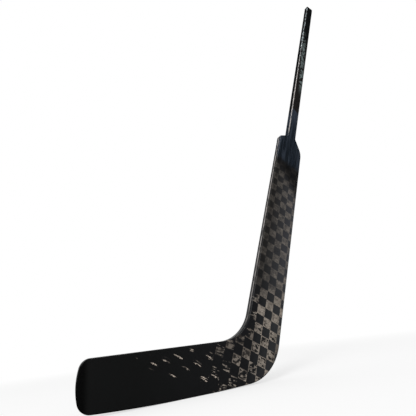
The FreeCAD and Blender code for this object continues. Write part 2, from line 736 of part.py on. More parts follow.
def edge_section(profile, outer, inner, low, high, rounding):
    """Draw an edge band's section: square inside, two rounded corners outside.

    The sketch's X runs between inside and outside, and its Y from one face to the other.
    """
    places = (outer, inner, low, high, rounding)
    out_x, in_x, bottom_y, top_y, bend = (value(item) for item in places)
    sign = 1 if out_x > in_x else -1
    shoulder = out_x - sign * bend
    bottom = profile.line((in_x, bottom_y), (shoulder, bottom_y))
    side = profile.line((out_x, bottom_y + bend), (out_x, top_y - bend))
    top = profile.line((shoulder, top_y), (in_x, top_y))
    inside = profile.line((in_x, top_y), (in_x, bottom_y))
    if sign > 0:
        low_arc = profile.arc((shoulder, bottom_y + bend), bend, DOWN_ANGLE, RIGHT_ANGLE)
        high_arc = profile.arc((shoulder, top_y - bend), bend, RIGHT_ANGLE, UP_ANGLE)
        first, last = START, END
    else:
        low_arc = profile.arc((shoulder, bottom_y + bend), bend, LEFT_ANGLE, DOWN_ANGLE)
        high_arc = profile.arc((shoulder, top_y - bend), bend, UP_ANGLE, LEFT_ANGLE)
        first, last = END, START
    profile.flow(bottom, END, low_arc, first)
    profile.flow(low_arc, last, side, START)
    profile.flow(side, END, high_arc, first)
    profile.flow(high_arc, last, top, START)
    profile.meet(top, END, inside, START)
    profile.meet(inside, END, bottom, START)
    for edge in (bottom, top):
        profile.rule("Horizontal", edge)
    for edge in (side, inside):
        profile.rule("Vertical", edge)
    profile.radius(low_arc, rounding)
    profile.radius(high_arc, rounding)
    profile.place(bottom, START, inner, low)
    profile.across(side, START, outer)
    profile.up(top, START, high)


def paddle_rail(label, foot_outer, head_outer, inward):
    """Loft one long edge of the paddle from the heel to the shoulders."""
    body = make_body(label)
    foot = body_profile(body, f"{label}_foot", "XY_Plane", "rail_start")
    head = body_profile(body, f"{label}_head", "XY_Plane", "collar_start")
    for profile, outer in ((foot, foot_outer), (head, head_outer)):
        inner = f"{outer} {inward} {EDGE_WIDTH}"
        edge_section(profile, outer, inner, "-face_thickness / 2", "face_thickness / 2", "edge_rounding")
    loft = body.newObject("PartDesign::AdditiveLoft", f"{label}_loft")
    loft.Profile = foot.sketch
    loft.Sections = [(head.sketch, [""])]
    return body


def shoulder_outline(body):
    """Draw the shoulders from the front, closed square at both ends."""
    profile = body_profile(body, "shoulder_outline", "XZ_Plane")
    shaft_back, shaft_toe = "-shaft_inset + shaft_width / 2", "-shaft_inset - shaft_width / 2"
    base, neck = value("collar_start"), value(NECK_START)
    back_x, toe_x, width = value(shaft_back), value(shaft_toe), value("paddle_top_width")
    hollow, blend, nose = value("neck_fillet"), value("back_blend_radius"), value("toe_shoulder_corner")
    back_slope, toe_slope = value("back_slope_angle"), value("toe_slope_angle")
    back_rise, toe_rise = math.radians(back_slope), math.radians(toe_slope)

    back_high = (back_x + hollow * (1 - math.sin(back_rise)), neck - hollow * math.cos(back_rise))
    toe_high = (toe_x - hollow * (1 - math.sin(toe_rise)), neck - hollow * math.cos(toe_rise))
    back_low_x = -blend * (1 - math.sin(back_rise))
    back_low = (back_low_x, back_high[1] - (back_low_x - back_high[0]) * math.tan(back_rise))
    blend_centre = (-blend, back_low[1] - blend * math.cos(back_rise))
    toe_low_x = -width + nose * (1 - math.sin(toe_rise))
    toe_low = (toe_low_x, toe_high[1] - (toe_high[0] - toe_low_x) * math.tan(toe_rise))
    nose_centre = (-width + nose, toe_low[1] - nose * math.cos(toe_rise))

    bottom = profile.line((-width, base), (0, base))
    back_side = profile.line((0, base), (0, blend_centre[1]))
    back_blend = profile.arc(blend_centre, blend, RIGHT_ANGLE, UP_ANGLE - back_slope)
    back_shoulder = profile.line(back_low, back_high)
    back_hollow = profile.arc((back_x + hollow, neck), hollow, LEFT_ANGLE, DOWN_ANGLE - back_slope)
    top = profile.line((back_x, neck), (toe_x, neck))
    toe_hollow = profile.arc((toe_x - hollow, neck), hollow, DOWN_ANGLE + toe_slope, RIGHT_ANGLE)
    toe_shoulder = profile.line(toe_high, toe_low)
    toe_nose = profile.arc(nose_centre, nose, UP_ANGLE + toe_slope, LEFT_ANGLE)
    toe_side = profile.line((-width, nose_centre[1]), (-width, base))

    profile.meet(bottom, END, back_side, START)
    profile.flow(back_side, END, back_blend, START)
    profile.flow(back_blend, END, back_shoulder, START)
    profile.flow(back_shoulder, END, back_hollow, END)
    profile.meet(back_hollow, START, top, START)
    profile.meet(top, END, toe_hollow, END)
    profile.flow(toe_hollow, START, toe_shoulder, START)
    profile.flow(toe_shoulder, END, toe_nose, START)
    profile.flow(toe_nose, END, toe_side, START)
    profile.meet(toe_side, END, bottom, START)
    profile.rule("Horizontal", bottom)
    for edge in (back_side, toe_side):
        profile.rule("Vertical", edge)
    profile.radius(back_blend, "back_blend_radius")
    profile.radius(back_hollow, "neck_fillet")
    profile.radius(toe_hollow, "neck_fillet")
    profile.radius(toe_nose, "toe_shoulder_corner")
    profile.direction(back_shoulder, f"{LEFT_ANGLE} - back_slope_angle")
    profile.direction(toe_shoulder, f"{LEFT_ANGLE} + toe_slope_angle")
    profile.place(bottom, START, "-paddle_top_width", "collar_start")
    profile.across(bottom, END, "0")
    profile.place(top, START, shaft_back, NECK_START)
    profile.place(top, END, shaft_toe, NECK_START)
    profile.up(back_hollow, CENTRE, NECK_START)
    profile.up(toe_hollow, CENTRE, NECK_START)
    return profile


def neck_collar():
    """Mould the shoulders and the neck, with the opening that the spine passes through."""
    body = make_body("neck_collar")
    shoulders = centred_pad(body, shoulder_outline(body), "face_thickness", "shoulder_pad")
    doc.recompute()
    ends = [FreeCAD.Vector(0, 0, value(station)) for station in ("collar_start", NECK_START)]
    walls = [(end, FreeCAD.Vector(0, 0, 1)) for end in ends]
    rounding = body.newObject("PartDesign::Fillet", "shoulder_rounding")
    rounding.Base = (shoulders, [f"Edge{number}" for number in perimeter_edges(shoulders.Shape, walls)])
    bind(rounding, "Radius", "edge_rounding")
    neck = body_profile(body, "neck_section", "XY_Plane", NECK_START)
    shaft_section(neck, "0", "edge_rounding")
    pad(body, neck, "neck_length", "neck_pad")
    bore = body_profile(body, "collar_bore_section", "XY_Plane", NECK_END)
    lining = "(skin_thickness - bond_gap)"
    shaft_section(bore, lining, f"edge_rounding - {lining}")
    pocket(body, bore, f"{NECK_END} - collar_start", "collar_bore")
    return body


def shaft_tube(label, start, end, lining, wall):
    """Make a tube of the shaft's section between two stations."""
    body = make_body(label)
    outside = body_profile(body, f"{label}_outside", "XY_Plane", start)
    shaft_section(outside, lining, f"edge_rounding - ({lining})")
    pad(body, outside, f"({end}) - ({start})", f"{label}_pad")
    inside = body_profile(body, f"{label}_inside", "XY_Plane", end)
    bore = f"({lining} + {wall})"
    shaft_section(inside, bore, f"edge_rounding - {bore}")
    pocket(body, inside, f"({end}) - ({start})", f"{label}_bore")
    return body


def butt_plug():
    """Make the end cap: a plate over the tube's end and a hollow stem inside it."""
    body = make_body("butt_plug")
    cap_start = "stick_length - plug_cap"
    cap_profile = body_profile(body, "cap_section", "XY_Plane", cap_start)
    shaft_section(cap_profile, "0", "edge_rounding")
    cap = pad(body, cap_profile, "plug_cap", "cap_pad")
    doc.recompute()
    top = cap.Shape.BoundBox.ZMax
    rim = [
        f"Edge{number}" for number, edge in enumerate(cap.Shape.Edges, start=1)
        if edge.BoundBox.ZMin > top - value("plug_cap / 2")
    ]
    bevel = body.newObject("PartDesign::Chamfer", "cap_bevel")
    bevel.Base = (cap, rim)
    bind(bevel, "Size", "plug_cap_bevel")
    stem_profile = body_profile(body, "stem_section", "XY_Plane", f"{cap_start} - plug_stem")
    fit = "(skin_thickness + spine_wall + bond_gap)"
    shaft_section(stem_profile, fit, f"edge_rounding - {fit}")
    pad(body, stem_profile, "plug_stem", "stem_pad")
    hollow_profile = body_profile(body, "hollow_section", "XY_Plane", f"{cap_start} - plug_stem")
    hollow = f"({fit} + plug_wall)"
    shaft_section(hollow_profile, hollow, f"edge_rounding - {fit}")
    pocket(body, hollow_profile, "plug_stem", "stem_hollow", along_normal=True)
    return body


def paddle_core(label, corners):
    """Make one foam core of the paddle from its four (across, along) corners."""
    body = make_body(label)
    profile = body_profile(body, f"{label}_outline", "XZ_Plane")
    points = [(value(across), value(along)) for across, along in corners]
    edges = [profile.line(start, end) for start, end in zip(points, points[1:] + points[:1])]
    for edge, following in zip(edges, edges[1:] + edges[:1]):
        profile.meet(edge, END, following, START)
    for edge, (across, along) in zip(edges, corners):
        profile.place(edge, START, across, along)
    centred_pad(body, profile, "face_thickness - 2 * (skin_thickness + bond_gap)", f"{label}_pad")
    return body


def paddle_cores():
    """Make the foam on either side of the spine."""
    half_spine = "(shaft_width / 2 - skin_thickness + bond_gap)"
    foot, head = "rail_start + bond_gap", "collar_start - bond_gap"
    toe_foot = f"-paddle_width + {EDGE_WIDTH} + bond_gap"
    toe_head = f"-paddle_top_width + {EDGE_WIDTH} + bond_gap"
    spine_toe, spine_back = f"-shaft_inset - {half_spine}", f"-shaft_inset + {half_spine}"
    back = f"-{EDGE_WIDTH} - bond_gap"
    toe_corners = ((toe_foot, foot), (spine_toe, foot), (spine_toe, head), (toe_head, head))
    back_corners = ((spine_back, foot), (back, foot), (back, head), (spine_back, head))
    return [paddle_core("toe_side_core", toe_corners), paddle_core("back_side_core", back_corners)]


def build_stick():
    """Build every piece of the stick."""
    skin_outline = stick_outline("skin_outline", EDGE_WIDTH, "collar_start", "paddle_top_width")
    skin_slab = extrude(skin_outline, "4 * face_thickness", "skin_slab", both_ways=True)
    tube_end = "stick_length - plug_cap"
    pieces = laminate_skins(skin_slab)
    pieces += edge_bands(skin_slab)
    pieces += blade_inside()
    pieces += paddle_cores()
    pieces.append(paddle_rail("toe_side_rail", "-paddle_width", "-paddle_top_width", "+"))
    pieces.append(paddle_rail("back_side_rail", "0", "0", "-"))
    pieces.append(neck_collar())
    pieces.append(shaft_tube("shaft_sleeve", NECK_END, tube_end, "0", "skin_thickness - bond_gap"))
    pieces.append(shaft_tube("spine_tube", "spine_start", tube_end, "skin_thickness", "spine_wall"))
    pieces.append(butt_plug())
    return pieces


def write_parts(pieces):
    """Check every object of the document and write each piece to its own file."""
    doc.removeObject(gauge.Name)
    doc.recompute()
    failed = [item.Name for item in doc.Objects if {"Invalid", "Error"} & set(item.State)]
    assert not failed, f"failed objects: {failed}"
    os.makedirs("parts", exist_ok=True)
    for piece in pieces:
        shape = piece.Shape
        assert not shape.isNull() and shape.isValid(), f"{piece.Label} has no valid shape"
        assert len(shape.Solids) == 1, f"{piece.Label} is {len(shape.Solids)} solids"
        shape.exportStep(f"parts/{piece.Label}.step")
        print(f"{piece.Label}: {shape.Volume / MM3_PER_CM3:.2f} cm3")


write_parts(build_stick())
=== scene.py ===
"""Looks of the goalkeeper's stick: its outer pieces, their laminate finishes and a plain studio.

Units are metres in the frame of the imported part: +Z up from the ice, the toe of the blade along -X, the
shaft leaning towards +X and the front face looking along -Y. Finishes measure in millimetres along the
shaft from the heel point, and across it from the middle of the paddle, positive on the toe side.
"""
import logging
import math
from dataclasses import asdict, dataclass, field, fields
from enum import Enum
from typing import Callable, ClassVar, Iterable, Sequence, Union

import bmesh
import bpy
from mathutils import Matrix, Vector
from mathutils.geometry import delaunay_2d_cdt, intersect_point_line


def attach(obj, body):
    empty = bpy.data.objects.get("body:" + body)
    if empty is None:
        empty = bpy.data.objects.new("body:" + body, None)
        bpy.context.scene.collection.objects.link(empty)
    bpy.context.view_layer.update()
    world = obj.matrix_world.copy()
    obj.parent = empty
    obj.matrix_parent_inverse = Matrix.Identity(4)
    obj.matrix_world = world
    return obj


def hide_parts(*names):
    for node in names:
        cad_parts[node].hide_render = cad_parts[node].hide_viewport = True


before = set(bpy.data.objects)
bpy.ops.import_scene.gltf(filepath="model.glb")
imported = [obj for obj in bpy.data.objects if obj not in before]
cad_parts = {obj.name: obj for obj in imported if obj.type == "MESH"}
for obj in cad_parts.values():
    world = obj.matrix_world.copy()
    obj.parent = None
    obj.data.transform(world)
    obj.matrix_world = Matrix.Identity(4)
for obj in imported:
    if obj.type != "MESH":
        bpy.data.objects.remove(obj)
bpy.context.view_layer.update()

MM = 0.001
PER_MM = 1 / MM
BODY = "root"
MERGE_DISTANCE = 0.005 * MM
SHARP_ANGLE = math.radians(35)

log = logging.getLogger("goalie_stick")


class Face(Enum):
    """The two broad faces of the stick, by the sign of their level."""
    FRONT = -1
    BACK = 1


Colour = tuple[float, float, float, float]
Place = tuple[float, float, float]


def srgb(red: float, green: float, blue: float) -> Colour:
    """Turn a colour as a screen shows it, 0 to 255, into linear light.

    Args:
        red: red on the screen.
        green: green on the screen.
        blue: blue on the screen.

    Returns:
        The linear colour with full alpha.
    """
    shares = [value / 255 for value in (red, green, blue)]
    linear = [share / 12.92 if share <= 0.04045 else ((share + 0.055) / 1.055) ** 2.4 for share in shares]
    return (*linear, 1.0)


@dataclass(frozen=True)
class Fade:
    """A share that follows a measure: `first` up to `start`, then softly to `last`, reached at `end`.

    In a zone both move on by `slant` with each unit across the paddle.
    """
    start: float
    end: float
    first: float = 0.0
    last: float = 1.0
    slant: float = 0.0
    RUN: ClassVar[str] = "SMOOTHSTEP"


class Ramp(Fade):
    """A fade that runs straight."""
    RUN: ClassVar[str] = "LINEAR"


@dataclass(frozen=True)
class Grain:
    """A soft noise: its grains per millimetre across and along the shaft, and per unit of depth.

    Where `seen` is given, it picks the share of the grains that shows.
    """
    across: float
    along: float
    depth: float = 0.0
    detail: float = 3.0
    rough: float = 0.6
    seen: Fade | None = None


class Zone:
    """A region of the stick with soft borders: fades of the measures of Spot that they are named for."""

    def __init__(self, **fades: Fade | tuple[Fade, ...]) -> None:
        """Pair each fade with the name of its measure."""
        self.fades: list[tuple[str, Fade]] = []
        for measure, given in fades.items():
            several = given if isinstance(given, tuple) else (given,)
            self.fades += [(measure, fade) for fade in several]


def math_operator(operation: str, swapped: bool = False) -> Callable[["Socket", "Number"], "Socket"]:
    """Write one operator of Socket.

    Args:
        operation: operation of the Math node that the operator adds.
        swapped: whether the socket stands on the operator's right.

    Returns:
        The method.
    """
    def method(socket: "Socket", other: "Number") -> "Socket":
        """Add the Math node."""
        return socket.tree.math(operation, *((other, socket) if swapped else (socket, other)))
    return method


class Socket:
    """A node's output in an expression: operators on it add Math nodes to its tree."""

    __add__ = math_operator("ADD")
    __radd__ = math_operator("ADD", swapped=True)
    __sub__ = math_operator("SUBTRACT")
    __rsub__ = math_operator("SUBTRACT", swapped=True)
    __mul__ = math_operator("MULTIPLY")
    __rmul__ = math_operator("MULTIPLY", swapped=True)
    __truediv__ = math_operator("DIVIDE")

    def __init__(self, tree: "Tree", output: bpy.types.NodeSocket | None) -> None:
        """Keep the output, if the node has one, and the tree that it belongs to."""
        self.tree = tree
        self.output = output

    def __neg__(self) -> "Socket":
        """Change the sign."""
        return self * -1.0


Number = Union[Socket, float]


def extreme(operation: str, plain: Callable[[Sequence[float]], float], values: Sequence[Number]) -> Number:
    """Find the smallest or largest of some values, numbers or sockets alike.

    Args:
        operation: operation of the Math nodes, where one of the values is a socket.
        plain: function that serves numbers alone.
        values: the values.

    Returns:
        The value that was found.
    """
    trees = [value.tree for value in values if isinstance(value, Socket)]
    if not trees:
        return plain(values)
    found = values[0]
    for value in values[1:]:
        found = trees[0].math(operation, found, value)
    return found


def smaller(*values: Number) -> Number:
    """Give the smallest of some values, numbers or sockets alike."""
    return extreme("MINIMUM", min, values)


def larger(*values: Number) -> Number:
    """Give the largest of some values, numbers or sockets alike."""
    return extreme("MAXIMUM", max, values)


class Tree:
    """A node tree written as expressions, for a material, the world or geometry."""

    MIX_COLOUR_A, MIX_COLOUR_B, MIX_COLOUR_RESULT = 6, 7, 2

    def __init__(self, nodes: bpy.types.NodeTree) -> None:
        """Wrap a node tree."""
        self.nodes = nodes

    def node(self, kind: str, settings: dict | None = None, inputs: dict | None = None,
             output: int | str = 0) -> Socket:
        """Add one node.

        Args:
            kind: type name of the node.
            settings: properties of the node, set first.
            inputs: values or sockets, by the name or number of the node's input.
            output: name or number of the output that is wanted.

        Returns:
            That output of the new node.
        """
        made = self.nodes.nodes.new(kind)
        for name, setting in (settings or {}).items():
            setattr(made, name, setting)
        for name, value in (inputs or {}).items():
            if isinstance(value, Socket):
                self.nodes.links.new(value.output, made.inputs[name])
            else:
                made.inputs[name].default_value = value
        return Socket(self, made.outputs[output] if made.outputs else None)

    def math(self, operation: str, *values: Number) -> Socket:
        """Add a Math node on one to three values."""
        return self.node("ShaderNodeMath", {"operation": operation}, dict(enumerate(values)))

    def dot(self, vector: Socket, direction: Sequence[float]) -> Socket:
        """Measure a vector along a fixed direction."""
        inputs = {0: vector, 1: direction}
        return self.node("ShaderNodeVectorMath", {"operation": "DOT_PRODUCT"}, inputs, "Value")

    def scaled(self, vector: Socket, factor: float) -> Socket:
        """Scale a vector."""
        return self.node("ShaderNodeVectorMath", {"operation": "SCALE"}, {0: vector, "Scale": factor})

    def vector(self, x: Number, y: Number, z: Number = 0.0) -> Socket:
        """Join three values into a vector."""
        return self.node("ShaderNodeCombineXYZ", inputs={0: x, 1: y, 2: z})

    def part(self, vector: Socket, axis: str) -> Socket:
        """Take one axis, X, Y or Z, of a vector."""
        return self.node("ShaderNodeSeparateXYZ", inputs={0: vector}, output=axis)

    def fade(self, value: Number, fade: Fade) -> Socket:
        """Let a share follow a value."""
        ends = {"From Min": fade.start, "From Max": fade.end, "To Min": fade.first, "To Max": fade.last}
        return self.node("ShaderNodeMapRange", {"interpolation_type": fade.RUN}, {"Value": value, **ends})

    def mix(self, share: Number, first: Socket | Colour, second: Socket | Colour) -> Socket:
        """Mix two colours by a share of the second."""
        inputs = {0: share, self.MIX_COLOUR_A: first, self.MIX_COLOUR_B: second}
        return self.node("ShaderNodeMix", {"data_type": "RGBA"}, inputs, self.MIX_COLOUR_RESULT)

    def noise(self, vector: Socket, detail: float, rough: float = 0.5) -> Socket:
        """Sample soft noise, about 0 to 1, whose grain is one unit of the vector."""
        inputs = {"Vector": vector, "Scale": 1.0, "Detail": detail, "Roughness": rough}
        return self.node("ShaderNodeTexNoise", {"noise_dimensions": "3D"}, inputs, "Fac")

    def cells(self, vector: Socket, output: str) -> Socket:
        """Split space into cells of about one unit of the vector, and give what they are asked for."""
        return self.node("ShaderNodeTexVoronoi", {"feature": "F1"}, {"Vector": vector, "Scale": 1.0}, output)

    def random(self, vector: Socket) -> Socket:
        """Draw one fixed value from 0 to 1 for each whole vector."""
        return self.node("ShaderNodeTexWhiteNoise", {"noise_dimensions": "3D"}, {"Vector": vector}, "Value")

    def attribute(self, name: str) -> Socket:
        """Read a number that the mesh carries under a name."""
        return self.node("ShaderNodeAttribute", {"attribute_name": name}, output="Fac")

    def shine(self, shader: Socket) -> None:
        """End a material's tree with its shader."""
        self.node("ShaderNodeOutputMaterial", inputs={"Surface": shader})


def blank_material(name: str) -> tuple[bpy.types.Material, Tree]:
    """Start a material with an empty tree.

    Args:
        name: name of the material.

    Returns:
        The material and its tree.
    """
    made = bpy.data.materials.new(name)
    made.use_nodes = True
    made.node_tree.nodes.clear()
    return made, Tree(made.node_tree)


@dataclass(frozen=True)
class BladeRule:
    """How thickness and bend follow the place along the blade, in numbers or in sockets."""
    face: Number
    root: Number
    toe: Number
    curve: Number
    thinning_start: Number
    thinning_length: Number
    toe_x: Number

    def bend(self, x: Number) -> Number:
        """Give the share of the toe's bend that is reached at a place.

        Args:
            x: the place.

        Returns:
            The share.
        """
        root_x = self.thinning_start - self.thinning_length
        share = larger((root_x - x) / (root_x - self.toe_x), 0.0)
        return share * share

    def thickness(self, x: Number) -> Number:
        """Give the thickness from face to face at a place: an S of two parabolas, then on with the bend.

        Args:
            x: the place.

        Returns:
            The thickness.
        """
        along = larger(smaller((self.thinning_start - x) / self.thinning_length, 1.0), 0.0)
        early = smaller(along, 0.5)
        late = 1.0 - larger(along, 0.5)
        share = 2.0 * early * early + (0.5 - 2.0 * late * late)
        return self.face + (self.root - self.face) * share + (self.toe - self.root) * self.bend(x)

    def middle(self, x: Number) -> Number:
        """Give the level half way between the faces at a place."""
        return self.curve * self.bend(x)


@dataclass(frozen=True)
class StickSizes:
    """Driving sizes of the stick, as its solids have them."""
    lean: float = math.radians(22.9)
    heel_x: float = 187 * MM
    stick_length: float = 1514 * MM
    blade_length: float = 390.5 * MM
    blade_height: float = 87 * MM
    paddle_width: float = 88.9 * MM
    paddle_top_width: float = 86.6 * MM
    shaft_inset: float = 43.8 * MM
    shaft_width: float = 31 * MM
    face_thickness: float = 18.4 * MM
    root_thickness: float = 11 * MM
    toe_thickness: float = 8 * MM
    blade_curve: float = 9.6 * MM
    edge_rounding: float = 4 * MM
    edge_width: float = 4.4 * MM
    skin_thickness: float = 1 * MM
    sleeve_wall: float = 0.9 * MM
    heel_radius: float = 101 * MM
    throat_radius: float = 84 * MM
    toe_radius: float = 110 * MM
    toe_top_corner: float = 18 * MM
    toe_sole_corner: float = 22 * MM
    toe_centre_height: float = 45 * MM
    rocker_radius: float = 3600 * MM
    sole_grind: float = 0.3 * MM
    thinning_length: float = 100 * MM
    block_length: float = 137 * MM
    toe_band_length: float = 36 * MM
    rail_start: float = 140 * MM
    collar_start: float = 622 * MM
    shoulder_side: float = 5.4 * MM
    neck_length: float = 109 * MM
    back_slope: float = math.radians(58)
    toe_slope: float = math.radians(36)
    back_blend: float = 60 * MM
    toe_shoulder: float = 9 * MM
    neck_fillet: float = 8 * MM
    plug_cap: float = 5 * MM
    plug_bevel: float = 1.2 * MM
    plug_stem: float = 40 * MM
    plug_fit: float = 2.3 * MM

    @property
    def toe_x(self) -> float:
        """Tip of the toe."""
        return self.heel_x - self.blade_length

    @property
    def toe_joint(self) -> float:
        """Seam between the toe's band and the long bands of the blade."""
        return self.toe_x + self.toe_band_length

    @property
    def block_x(self) -> float:
        """Where the full thickness of the heel ends."""
        return self.heel_x - self.block_length

    @property
    def neck_start(self) -> float:
        """Height on the shaft where the shoulders have run out."""
        bends = self.neck_fillet + self.back_blend
        run = self.shaft_inset - self.shaft_width / 2 - bends * (1 - math.sin(self.back_slope))
        rise = bends * math.cos(self.back_slope) + run * math.tan(self.back_slope)
        return self.collar_start + self.shoulder_side + rise

    @property
    def collar_end(self) -> float:
        """Height on the shaft where the neck meets the sleeve."""
        return self.neck_start + self.neck_length

    @property
    def up(self) -> Vector:
        """Direction up the shaft, as (x, z)."""
        return Vector((math.sin(self.lean), math.cos(self.lean)))

    @property
    def back(self) -> Vector:
        """Direction across the shaft to its back side, as (x, z)."""
        return Vector((math.cos(self.lean), -math.sin(self.lean)))

    @property
    def rule(self) -> BladeRule:
        """Thickness and bend of the blade."""
        return BladeRule(self.face_thickness, self.root_thickness, self.toe_thickness, self.blade_curve,
                         self.block_x, self.thinning_length, self.toe_x)

    def leaning(self, across: float, along: float) -> Vector:
        """Give the (x, z) of a point by its distance from the back edge and along the shaft."""
        return Vector((self.heel_x, 0)) + self.back * across + self.up * along

    def sole_height(self, x: float) -> float:
        """Give the height of the sole: a long curve with its middle ground flat."""
        return max(x * x / (2 * self.rocker_radius) - self.sole_grind, 0.0)


@dataclass(frozen=True)
class EdgePoint:
    """A point of the stick's outline, as (x, z), and the direction into the stick there."""
    place: Vector
    inward: Vector

    def inside(self, depth: float) -> Vector:
        """Give the point at a depth inside the outline."""
        return self.place + self.inward * depth


def turned(angle: float) -> Vector:
    """Give the unit (x, z) direction at an angle in radians."""
    return Vector((math.cos(angle), math.sin(angle)))


def heading(start: Vector, end: Vector) -> float:
    """Give the angle in radians of the direction from one point to another."""
    return math.atan2(end.y - start.y, end.x - start.x)


def line_points(start: Vector, end: Vector, inward: Vector, step: float) -> list[EdgePoint]:
    """Walk along a straight stretch of outline.

    Args:
        start: first point.
        end: last point.
        inward: direction into the stick.
        step: longest distance between points.

    Returns:
        The points, both ends among them.
    """
    count = max(1, math.ceil((end - start).length / step))
    return [EdgePoint(start.lerp(end, number / count), inward) for number in range(count + 1)]


def arc_points(centre: Vector, radius: float, first: float, last: float, step: float,
               hollow: bool = False) -> list[EdgePoint]:
    """Walk along a round stretch of outline.

    Args:
        centre: centre of the arc.
        radius: its radius.
        first: angle of the first point, in radians.
        last: angle of the last point.
        step: longest distance between points.
        hollow: whether the stick lies outside the arc.

    Returns:
        The points, both ends among them.
    """
    count = max(2, math.ceil(abs(last - first) * radius / step))
    points = []
    for number in range(count + 1):
        outward = turned(first + (last - first) * number / count)
        points.append(EdgePoint(centre + outward * radius, outward if hollow else -outward))
    return points


def circles_meet(first: Vector, first_radius: float, second: Vector, second_radius: float) -> Vector:
    """Find where two circles cross, on the left of the way from the first centre to the second.

    Args:
        first: centre of the first circle.
        first_radius: its radius.
        second: centre of the second circle.
        second_radius: its radius.

    Returns:
        The crossing.
    """
    way = second - first
    share = (first_radius ** 2 - second_radius ** 2 + way.length_squared) / (2 * way.length)
    forward = way.normalized()
    return first + forward * share + forward.orthogonal() * math.sqrt(first_radius ** 2 - share ** 2)


def chain(*stretches: list[EdgePoint]) -> list[EdgePoint]:
    """Join stretches of outline, leaving out points that repeat the one before.

    Args:
        stretches: the stretches in order.

    Returns:
        The points of all of them.
    """
    points: list[EdgePoint] = []
    for point in (point for stretch in stretches for point in stretch):
        if not points or (point.place - points[-1].place).length > MERGE_DISTANCE:
            points.append(point)
    return points


